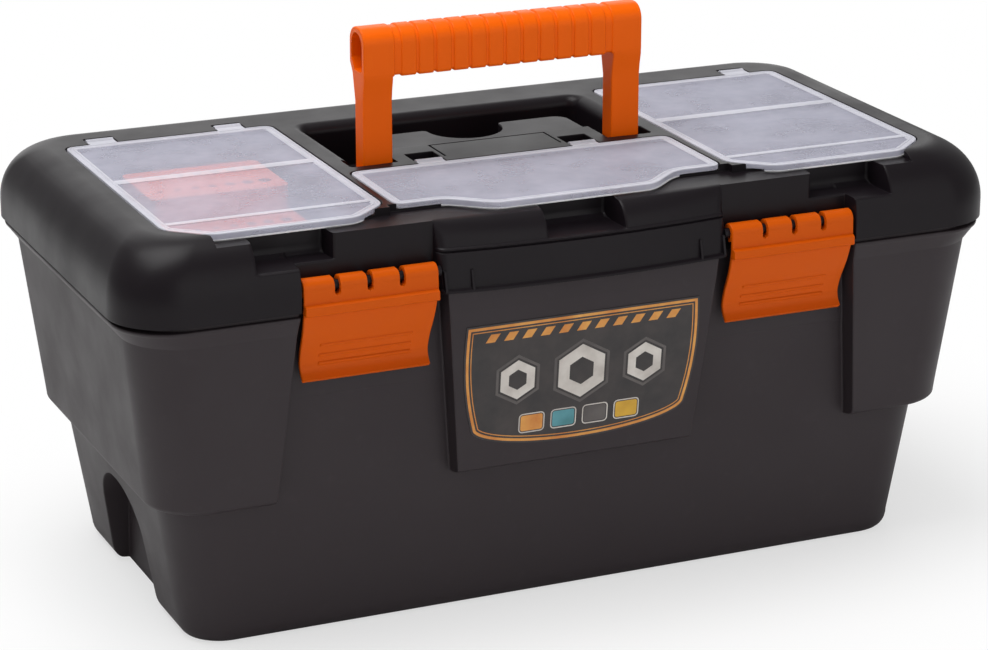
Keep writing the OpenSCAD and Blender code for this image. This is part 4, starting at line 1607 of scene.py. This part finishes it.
@dataclass
class Cover:
    """Clear cover with a bead round its edge, cross ribs and clip tabs."""

    word: str
    outline: list[Point2]
    tabs: list[float]
    axis: Point2
    rear: float
    ribs: list[tuple[Point2, Point2]]
    skirt_y: float
    low: float = 219.3
    sheet: float = 2.2
    bead: float = 0.6
    corner: float = 6.0
    lip_z: float = 218.75
    tab_half: float = 7.5

    def rounded_outline(self, less: float) -> list[Point2]:
        """Draws the outline with each corner cut into a short arc.

        Args:
            less: How far it is drawn in.

        Returns:
            The closed outline.
        """
        outline = inset(self.outline, less)
        radius = max(self.corner - less, 0.4)
        count = len(outline)
        points: list[Point2] = []
        for i in range(count):
            before, here, after = (Vector(outline[(i + k) % count]) for k in (-1, 0, 1))
            a = here + (before - here).normalized() * min(radius, (before - here).length * 0.4)
            b = here + (after - here).normalized() * min(radius, (after - here).length * 0.4)
            for k in range(6):
                t = k / 5
                spot = a * (1 - t) ** 2 + here * 2 * t * (1 - t) + b * t * t
                points.append((spot.x, spot.y))
        return points

    def rebate(self, floor: float, rim: float) -> list[list[Point3]]:
        """Draws the rebate that the cover lies in, with a gap round it and a rounded rim.

        Args:
            floor: Height of its floor.
            rim: Height of the deck round it.

        Returns:
            Its rings, from the floor up.
        """
        levels = [(0.8, floor), (0.8, rim - 0.5), (0.95, rim - 0.15), (1.3, rim), (1.3, rim + 8.0)]
        return [level(self.rounded_outline(-grow), z) for grow, z in levels]

    def skirt(self) -> Object:
        """Makes the lip that hangs from the front edge.

        Returns:
            The closed lip.
        """
        rings = []
        for less, z in ((0.5, self.lip_z - 0.65), (0.0, self.lip_z), (0.0, self.low + 1.0)):
            pairs = zip(self.rounded_outline(less), self.rounded_outline(1.2))
            front = [pair for pair in pairs if max(y for _, y in pair) < self.skirt_y]
            loop = [outer for outer, _ in front] + [inner for _, inner in reversed(front)]
            rings.append(level(loop, z))
        return skin("skirt", rings)

    def edge_faces(self, cover: Object) -> None:
        """Gives the beads a milky finish, and paints the lower lip white: a painted highlight that stands in
        for the light that leaves the sheet there.

        Args:
            cover: The finished cover.
        """
        cover.data.materials.append(Paint.of(CLEAR_EDGE))
        cover.data.materials.append(Paint.of(CLEAR_LIP_PAINTED_HIGHLIGHT))
        for face in cover.data.polygons:
            z = face.center.z / MM
            front = face.center.y / MM < self.skirt_y
            flat = abs(face.normal.z) > 0.95 and z < self.low + self.sheet + 0.12 and face.area > 4 * MM**2
            apron = abs(face.normal.z) < 0.5 and z < self.low + 1.6 and front
            # The lower lip takes the white painted highlight.
            if front and z < self.lip_z:
                face.material_index = 2
            else:
                face.material_index = 0 if flat or apron else 1

    def sheet_mesh(self) -> Object:
        """Makes the flat sheet with a raised, rounded bead along its edge.

        Returns:
            The closed sheet.
        """
        top = self.low + self.sheet
        crest = top + self.bead
        steps = [(0.6, self.low), (0.2, self.low + 0.1), (0.0, self.low + 0.5), (0.0, crest - 0.5)]
        steps += [(0.15, crest - 0.15), (0.5, crest), (1.4, crest), (1.7, crest - 0.35), (3.2, crest - 0.35)]
        steps += [(3.5, crest - 0.05), (4.2, crest), (4.6, crest - 0.12), (5.0, top + 0.12), (5.4, top)]
        return skin(f"clear_cover_{self.word}", [level(self.rounded_outline(d), z) for d, z in steps])

    def build(self) -> None:
        """Builds the cover and puts it in place of its node."""
        cover = self.sheet_mesh()
        y, z = self.axis
        rib_z = (self.low + 1.0, self.low + self.sheet + self.bead - 0.02)
        parts = [pocket(rib_x, rib_y, rib_z, 0.8) for rib_x, rib_y in self.ribs]
        parts.append(self.skirt())
        for tab in self.tabs:
            x = around(tab, self.tab_half)
            parts.append(lathe_x("clip", x, self.axis, 3.2, 0.3, 32))
            parts.append(pocket(x, (self.rear - 4.5, y), (219.42, 221.8), 0.4))
        combine(cover, parts, Cut.JOIN)
        spans = [around(tab, self.tab_half + 1.5) for tab in self.tabs]
        cuts = [lathe_x("bore", span, self.axis, 1.55, sides=24) for span in spans]
        cuts += [bar_x("mouth", [(y, z), (y + 1.2, 213.0), (y - 1.2, 213.0)], span, 0.0) for span in spans]
        combine(cover, cuts, Cut.CARVE)
        soften(cover, 30.0)
        dress(cover, CLEAR, f"cover_{self.word}_body", [f"cover_{self.word}"])
        self.edge_faces(cover)


def end_cover(side: Side) -> Cover:
    """Describes the cover over the well at one end.

    Args:
        side: End of the case.

    Returns:
        The cover.
    """
    sign, rear = side.value, 79.0
    outline = [(97.0, rear), (97.0, -87.0), (117.0, -104.5), (193.5, -104.5), (213.5, -87.0), (213.5, rear)]
    x = across(side, 101.5, 209.0)
    return Cover(
        word=side.name.lower(),
        outline=[(sign * px, py) for px, py in outline],
        tabs=[sign * tab for tab in END_TABS],
        axis=END_PIN,
        rear=rear,
        ribs=[(x, (-1.0, 6.0)), (x, (-81.5, -77.5))],
        skirt_y=-95.2,
    )


def centre_cover() -> Cover:
    """Describes the cover over the middle well, whose front swells over its finger pocket.

    Returns:
        The cover.
    """
    rear, front = -26.5, -91.5
    swell = [(70 - 30 * i / 10, front - 17.5 * (1 - math.cos(math.pi * i / 10)) / 2) for i in range(11)]
    half = [(92.0, rear), (92.0, front), *swell]
    return Cover(
        word="centre",
        outline=half + [(-x, y) for x, y in reversed(half)],
        tabs=[-MID_TAB, MID_TAB],
        axis=MID_PIN,
        rear=rear,
        ribs=[],
        skirt_y=-90.7,
    )


# ---------------------------------------------------------------- latches


@dataclass
class Latch:
    """Latch with a slotted barrel, a ridge at the seam and a curved plate that flares at its lip."""

    side: Side
    near: float = LATCH_NEAR
    far: float = LATCH_NEAR + LATCH_WIDTH
    barrel: float = 5.0
    thick: float = 2.2
    slot_half: float = 1.6
    slot_low: float = 191.2
    slot_flare: float = 1.8
    grips_z: Point3 = (161.5, 156.5, 151.5)
    grip_inset: float = 11.0
    # Share of its width that the plate keeps, by height.
    draw: tuple[Point2, ...] = ((144.0, 0.958), (180.0, 0.992), (186.0, 1.0))

    def front_curve(self) -> list[Point2]:
        """Draws the outer face of the plate.

        Returns:
            Points in Y and Z, from the barrel down to the lip.
        """
        points = [(-123.6, 195.5), (-124.0, 192.0), (-124.2, 188.0), (-124.0, 184.0), (-123.2, 180.5)]
        points += [(-122.1, 176.5), (-120.4, 171.6), (-117.9, 166.0), (-115.1, 160.5)]
        points += [(-112.9, 154.6), (-112.3, 151.2), (-113.2, 147.6), (-115.9, 144.2)]
        return smooth_path(points, 4)

    def plate(self) -> Object:
        """Makes the curved plate of even thickness.

        Returns:
            The closed plate.
        """
        front = self.front_curve()
        back: list[Point2] = []
        for i, here in enumerate(front):
            a, b = Vector(front[max(i - 1, 0)]), Vector(front[min(i + 1, len(front) - 1)])
            run = (b - a).normalized()
            away = Vector((-run.y, run.x)) * self.thick
            back.append((here[0] + away.x, here[1] + away.y))
        name = f"latch_{self.side.name.lower()}_moulding"
        return bar_x(name, front + back[::-1], (self.near, self.far), 0.7)

    def taper(self, latch: Object) -> None:
        """Draws the plate in towards its lip.

        Args:
            latch: The plate, before anything is joined to it.
        """
        middle = (self.near + self.far) / 2 * MM
        for vertex in latch.data.vertices:
            share = ramp(vertex.co.z / MM, self.draw)
            vertex.co.x = middle + (vertex.co.x - middle) * share

    def ridge(self) -> Object:
        """Makes the square-edged ridge at the seam, which overhangs the lower plate.

        Returns:
            The closed ridge.
        """
        profile = [(-123.0, 186.0), (-125.2, 185.7), (-126.3, 184.9), (-126.5, 181.0), (-125.8, 180.3)]
        profile.append((-121.9, 180.3))
        return bar_x("ridge", profile, (self.near + 0.3, self.far - 0.3), 0.3)

    def slot(self, mid: float) -> Object:
        """Makes the cutter of a slot over the rod, with a round bottom and a flared mouth.

        Args:
            mid: Middle of the slot.

        Returns:
            The closed cutter.
        """
        half, low, flare = self.slot_half, self.slot_low, self.slot_flare
        bottom = [math.radians(t) for t in range(0, 91, 15)]
        mouth = [math.radians(t) for t in range(0, 91, 18)]
        right = [(half * math.sin(t), low - half * math.cos(t)) for t in bottom]
        right += [(half + flare * (1 - math.cos(t)), 197.0 + flare * math.sin(t)) for t in mouth]
        right.append((half + flare, 202.0))
        loop = [(mid + x, z) for x, z in right] + [(mid - x, z) for x, z in reversed(right[1:])]
        return skin("slot", [[(x, y, z) for x, z in loop] for y in (-128.0, -112.0)])

    def grip_line(self, z: float) -> Object:
        """Makes a low rounded rib across the lower plate.

        Args:
            z: Its height.

        Returns:
            The closed rib.
        """
        y, z = min(self.front_curve(), key=lambda point: abs(point[1] - z))
        x = (self.near + self.grip_inset, self.far - self.grip_inset)
        return lathe_x("grip_line", x, (y + 0.3, z), 1.0, 0.6, 16)

    def build(self) -> None:
        """Builds the latch on the right, mirrors it if it is the left one, and replaces its node."""
        word = self.side.name.lower()
        latch = self.plate()
        self.taper(latch)
        barrel = lathe_x("barrel", (self.near, self.far), LATCH_ROD, self.barrel, 0.7, 48)
        combine(latch, [barrel, self.ridge()], Cut.JOIN)
        through = (self.near - 1, self.far + 1)
        mouth = [LATCH_ROD, (-110.0, 192.5), (-110.0, 184.5), (-118.5, 184.5)]
        rear = [(-119.0, 192.0), (-112.0, 192.0), (-112.0, 187.5), (-119.0, 187.5)]
        cuts = [lathe_x("rod_bore", through, LATCH_ROD, 2.65, 0.0, 32), bar_x("mouth", mouth, through, 0.0)]
        for share in LATCH_SLOTS:
            mid = self.near + LATCH_WIDTH * share
            cuts += [self.slot(mid), bar_x("slot_rear", rear, around(mid, 1.55), 0.0)]
        combine(latch, cuts, Cut.CARVE)
        combine(latch, [self.grip_line(z) for z in self.grips_z], Cut.JOIN)
        if self.side is Side.LEFT:
            latch.data.transform(Matrix.Scale(-1, 4, (1, 0, 0)))
            latch.data.flip_normals()
        soften(latch, 32.0, 0.25)
        dress(latch, ORANGE, f"latch_{word}_body", [f"latch_{word}"])


# ---------------------------------------------------------------- handle


@dataclass
class CarryHandle:
    """Hollow ribbed grip on two legs that turn in the lid."""

    grip_x: float = 80.0
    leg_x: float = 63.5
    front: float = -19.5
    rear: float = 1.0
    under: float = 268.0
    top: float = 294.0
    crown: float = 8.5
    toe: float = 1.8
    rib_h: float = 0.7
    ribs: int = 12
    foot: float = 5.8

    def section(self, less: float) -> list[Point2]:
        """Draws the grip's outline in Y and Z.

        Args:
            less: How much smaller it is all round.

        Returns:
            The closed outline.
        """
        y0, y1 = self.front + less, self.rear - less
        z0, z1 = self.under + less, self.top - less
        crown, toe = self.crown - less * 0.6, self.toe
        points = arc((y1 - crown, z1 - crown), crown, 0, 90, 8)
        points += arc((y0 + crown, z1 - crown), crown, 90, 180, 8)
        points += arc((y0 + toe, z0 + toe), toe, 180, 270, 8)
        points += arc((y1 - 4 - toe * 0.55, z0 + toe), toe, 270, 330, 8)
        points += arc((y1 - toe, z0 + 6.6), toe, 330, 360, 8)
        return points

    def leg(self) -> list[Point2]:
        """Draws the side view of a leg, from the pivot up into the grip.

        Returns:
            The closed outline in Y and Z.
        """
        y, r, under = HANDLE_PIVOT[0], self.foot, self.under
        points: list[Point2] = [(self.rear - 0.1, under + 8.0), (self.rear - 0.1, under + 12.0)]
        points += [(self.front + 0.1, under + 12.0), (self.front + 0.1, under - 1.0)]
        points += [(y - r - 0.9, under - 6.5), (y - r, under - 13.0)]
        points += arc(HANDLE_PIVOT, r, 180, 360, 12)
        points += [(y + r, under - 14.0), (y + r + 1.6, under - 7.0), (self.rear - 3.4, under + 0.6)]
        return points

    def build(self) -> None:
        """Builds the handle and puts it in place of its node."""
        core = around(0.0, self.grip_x - 1)
        handle = bar_x("carry_handle_moulding", self.section(self.rib_h), core, 0.0)
        ribbed = self.leg_x - 4.0
        pitch = 2 * ribbed / self.ribs
        rib = bar_x("rib", self.section(0.0), around(0.0, 0.43 * pitch), 0.8)
        # The ribs take the grip's brighter orange, which is painted light.
        parts = [repeat_in_row(rib, "grip_ribs", self.ribs, -ribbed + pitch / 2, pitch, GRIP_ORANGE_PAINTED_LIGHT)]
        for side in Side:
            collar = across(side, self.leg_x - 1.0, self.grip_x)
            parts.append(bar_x("collar", self.section(0.0), collar, 0.8))
            parts.append(bar_x("leg", self.leg(), across(side, self.leg_x, self.grip_x - 0.05), 0.8))
            parts.append(lathe_x("stub", across(side, 79.0, 92.5), HANDLE_PIVOT, 4.0, 0.4, 32))
        combine(handle, parts, Cut.JOIN)
        bore = bar_x("bore", self.section(WALL + self.rib_h), (-90.0, 90.0), 0.0)
        combine(handle, [bore], Cut.CARVE)
        soften(handle, 32.0)
        # The grip takes the brighter orange, which is painted light.
        dress(handle, GRIP_ORANGE_PAINTED_LIGHT, "handle_body", ["carry_handle"])


# ---------------------------------------------------------------- label


def hexagon(middle: float, size: float) -> list[Point2]:
    """Returns the outline of a hexagon on the label's middle line, size from its middle to a corner."""
    turns = [math.radians(60 * k + 30) for k in range(6)]
    return [(middle + size * math.cos(t), 3.0 + size * math.sin(t)) for t in turns]


@dataclass
class Label:
    """Printed film on the raised panel, with a generic pattern of bars, nuts and chips."""

    mid_z: float = 126.0
    face: float = 116.203
    tilt: float = 6.152
    lift: float = 0.06
    thick: float = 0.3
    ink: float = 0.05
    top: float = 36.0
    steps: int = 16

    def outline(self) -> list[Point2]:
        """Draws the label's outline.

        Returns:
            Points across and up the label.
        """
        half: list[Point2] = []
        for i in range(self.steps + 1):
            f = i / self.steps
            half.append((65.6 + 2.2 * math.sin(math.radians(135 * f)) - 6 * f * f, self.top - 58 * f))
        foot_u, foot_v = half[-1]
        for i in range(1, self.steps + 1):
            turn = math.radians(90 * i / self.steps)
            half.append((foot_u * math.cos(turn), foot_v - 13.5 * math.sin(turn)))
        return half + [(-u, v) for u, v in reversed(half[:-1])]

    def placed(self, outline: Iterable[Point2], height: float) -> list[Point3]:
        """Puts an outline on the panel.

        Args:
            outline: Points across and up the label.
            height: How far it stands off the panel.

        Returns:
            Its points in the case.
        """
        turn = Matrix.Rotation(math.radians(90 + self.tilt), 4, "X")
        place = Matrix.Translation((0.0, -self.face, self.mid_z)) @ turn
        return [tuple(place @ Vector((u, v, height))) for u, v in outline]

    def tile(self, name: str, outline: Sequence[Point2], height: float, base: float) -> Object:
        """Makes a thin tile.

        Args:
            name: Name of the object.
            outline: Its outline.
            height: Its thickness.
            base: How far its underside stands off the panel.

        Returns:
            The closed tile.
        """
        edge = min(0.04, height)
        levels = ((base, 0.0), (base + height * 0.6, 0.0), (base + height, edge))
        return skin(name, [self.placed(inset(outline, less), high) for high, less in levels])

    def band(self, outer: Sequence[Point2], inner: Sequence[Point2]) -> Object:
        """Makes a printed frame between two outlines.

        Args:
            outer: Its outer outline.
            inner: Its inner outline, with as many points.

        Returns:
            The closed frame.
        """
        count, base = len(outer), self.lift + self.thick
        top = base + self.ink
        points: list[Point3] = []
        for loop, high in ((outer, base), (outer, top), (inner, top), (inner, base)):
            points += self.placed(loop, high)
        faces = []
        for k in range(4):
            here, there = k * count, (k + 1) % 4 * count
            for i in range(count):
                j = (i + 1) % count
                faces.append([here + i, here + j, there + j, there + i])
        return new_object("frame", points, faces)

    def build(self) -> None:
        """Builds the label and puts it in place of its node."""
        outline = self.outline()
        base, ink = self.lift + self.thick, self.ink
        film = self.tile("film", outline, self.thick, self.lift)
        rims = ((1.1, 2.6), (3.6, 4.1))
        copper = [self.band(inset(outline, first), inset(outline, last)) for first, last in rims]
        for u in (-55.0 + 10.2 * i for i in range(11)):
            slash = [(u, 26.0), (u + 5.2, 26.0), (u + 8.2, 30.5), (u + 3.0, 30.5)]
            copper.append(self.tile("slash", slash, ink, base))
        pale, grey, teal, yellow = [], [], [], []
        for u, size in ((-36.0, 11.0), (0.0, 15.0), (36.0, 11.0)):
            nut = hexagon(u, size)
            pale.append(self.band(nut, hexagon(u, size * 0.52)))
            grey.append(self.band(inset(nut, -2.6), inset(nut, -1.2)))
        for parts, u in ((copper, -27.0), (teal, -9.0), (grey, 9.0), (yellow, 27.0)):
            chip = [(u + px, -22.5 + py) for px, py in rounded_box(6.2, 4.4, 1.2, 3)]
            parts.append(self.tile("chip", chip, ink, base))
            pale.append(self.band(inset(chip, -1.1), inset(chip, -0.5)))
        prints = (
            ("film_sheet", FILM_DARK, [film]),
            ("copper_print", FILM_COPPER, copper),
            ("pale_print", FILM_PALE, pale),
            ("grey_print", FILM_GREY, grey),
            ("teal_print", FILM_TEAL, teal),
            ("yellow_print", FILM_YELLOW, yellow),
        )
        for word, finish, (piece, *others) in prints:
            piece.name = f"label_{word}"
            join(piece, others)
            soften(piece, 30.0)
            dress(piece, finish, "tub_body", ["label"] if finish is FILM_DARK else [])


# ---------------------------------------------------------------- loose pieces


@dataclass
class LoosePieces:
    """Tray, tray bow, drill-bit holder and hinge pins, finished from their solids."""

    frame: dict
    moulded_edge: float = 0.35
    bow_edge: float = 1.2
    pin_edge: float = 0.3

    def build(self) -> None:
        """Builds each loose piece and puts it in place of its node."""
        rows = [
            ("inner_tray", "tray_moulding", TRAY_BLACK, "tray_body", self.moulded_edge),
            ("tray_handle", "tray_bow", ORANGE, "tray_body", self.bow_edge),
            ("drill_bit_holder", "bit_holder_moulding", ORANGE, "holder_body", self.moulded_edge),
            ("hinge_pin_left", "hinge_pin_left_wire", STEEL, "tub_body", self.pin_edge),
            ("hinge_pin_right", "hinge_pin_right_wire", STEEL, "tub_body", self.pin_edge),
        ]
        for node, name, finish, body, bevel in rows:
            piece = refine_node(self.frame, node, name, bevel)
            dress(piece, finish, body, [node])


# ---------------------------------------------------------------- studio

WHITE = (1.0, 1.0, 1.0, 1.0)


@dataclass(frozen=True)
class Studio:
    """Pale floor, soft lamps and the camera."""

    azimuth: float = -23.693
    elevation: float = 18.437
    lens: float = 117.586
    place: Point3 = (-671.6, -1535.1, 676.5)
    aim: Point3 = (0.0, 0.0, 120.0)
    floor_reach: float = 9000.0
    # Strength of the surround as it lights the case, and as the camera sees it.
    surround: Point2 = (0.36, 1.0)

    def camera(self) -> None:
        """Adds the camera and makes it the scene's own."""
        data = bpy.data.cameras.new("camera")
        data.lens = self.lens
        data.sensor_width = 36.0
        data.clip_end = 50.0
        camera = bpy.data.objects.new("camera", data)
        a, e = math.radians(self.azimuth), math.radians(self.elevation)
        back = Vector((math.sin(a) * math.cos(e), -math.cos(a) * math.cos(e), math.sin(e)))
        right = Vector((math.cos(a), math.sin(a), 0.0))
        up = back.cross(right)
        turn = Matrix((right, up, back)).transposed().to_4x4()
        camera.matrix_world = Matrix.Translation(Vector(self.place) * MM) @ turn
        bpy.context.scene.collection.objects.link(camera)
        bpy.context.scene.camera = camera

    def floor_surface(self, tree: NodeTree, coords: NodeSocket) -> NodeSocket:
        """Adds the floor's nodes: pale paint, which turns to plain white away from the shadow.

        Args:
            tree: Node tree that they go into.
            coords: Object coordinates.

        Returns:
            The shader's output socket.
        """
        paint = add_node(
            tree,
            "ShaderNodeBsdfPrincipled",
            inputs={"Base Color": (0.93, 0.93, 0.93, 1.0), "Roughness": 0.8, "Specular IOR Level": 0.2},
        )
        white = add_node(tree, "ShaderNodeEmission", inputs={"Color": WHITE, "Strength": 1.0})
        oval = add_node(
            tree, "ShaderNodeMapping", inputs={"Scale": (3.4, 5.6, 0.0)}, links={"Vector": coords}
        ).outputs["Vector"]
        away = add_node(tree, "ShaderNodeVectorMath", operation="LENGTH", links={0: oval}).outputs["Value"]
        paleness = add_node(
            tree,
            "ShaderNodeMapRange",
            interpolation_type="SMOOTHSTEP",
            inputs={"From Min": 0.72, "From Max": 1.75, "To Min": 0.6, "To Max": 1.0},
            links={"Value": away},
        ).outputs["Result"]
        seen = add_node(tree, "ShaderNodeLightPath").outputs["Is Camera Ray"]
        share = add_node(tree, "ShaderNodeMath", operation="MULTIPLY", links={0: paleness, 1: seen})
        return add_node(
            tree,
            "ShaderNodeMixShader",
            links={0: share.outputs[0], 1: paint.outputs["BSDF"], 2: white.outputs["Emission"]},
        ).outputs[0]

    def floor(self) -> None:
        """Adds a pale floor that keeps the case's shadow."""
        reach = self.floor_reach
        corners = [(-reach, -reach, 0), (reach, -reach, 0), (reach, reach, 0), (-reach, reach, 0)]
        floor = new_object("floor", corners, [(0, 1, 2, 3)])
        floor.data.materials.append(node_material("studio_floor", self.floor_surface))

    def world(self) -> None:
        """Adds an even pale surround that shows white to the camera."""
        world = bpy.data.worlds.new("studio")
        world.use_nodes = True
        tree = world.node_tree
        tree.nodes.clear()
        path = add_node(tree, "ShaderNodeLightPath")
        soft, white = (
            add_node(tree, "ShaderNodeBackground", inputs={"Color": WHITE, "Strength": strength})
            for strength in self.surround
        )
        mixed = add_node(
            tree,
            "ShaderNodeMixShader",
            links={0: path.outputs["Is Camera Ray"], 1: soft.outputs[0], 2: white.outputs[0]},
        )
        add_node(tree, "ShaderNodeOutputWorld", links={"Surface": mixed.outputs[0]})
        bpy.context.scene.world = world

    def lamp(self, name: str, place: Point3, size: float, watts: float) -> None:
        """Adds a square soft lamp that points at the case.

        Args:
            name: Name of the lamp.
            place: Where it stands.
            size: Length of its sides in metres.
            watts: Its power.
        """
        data = bpy.data.lights.new(name, "AREA")
        data.shape = "SQUARE"
        data.size = size
        data.energy = watts
        lamp = bpy.data.objects.new(name, data)
        away = (Vector(place) - Vector(self.aim)).normalized()
        turn = away.to_track_quat("Z", "Y").to_matrix().to_4x4()
        lamp.matrix_world = Matrix.Translation(Vector(place) * MM) @ turn
        bpy.context.scene.collection.objects.link(lamp)

    def build(self) -> None:
        """Sets the stage."""
        self.camera()
        self.floor()
        self.world()
        self.lamp("key_lamp", (-500.0, 100.0, 1950.0), 1.3, 30.0)
        self.lamp("fill_lamp", (500.0, -1900.0, 600.0), 1.8, 9.0)
        self.lamp("rear_lamp", (500.0, 2100.0, 1000.0), 2.2, 13.0)
        bpy.context.scene.view_settings.view_transform = "Standard"


# ---------------------------------------------------------------- assembly


def main() -> None:
    """Builds the case in order."""
    logging.basicConfig(level=logging.INFO, format="%(name)s: %(message)s")
    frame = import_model()
    Studio().build()
    Tub().build()
    Lid().build()
    for side in Side:
        Latch(side).build()
        end_cover(side).build()
    centre_cover().build()
    CarryHandle().build()
    Label().build()
    LoosePieces(frame).build()


if __name__ == "__main__":
    main()
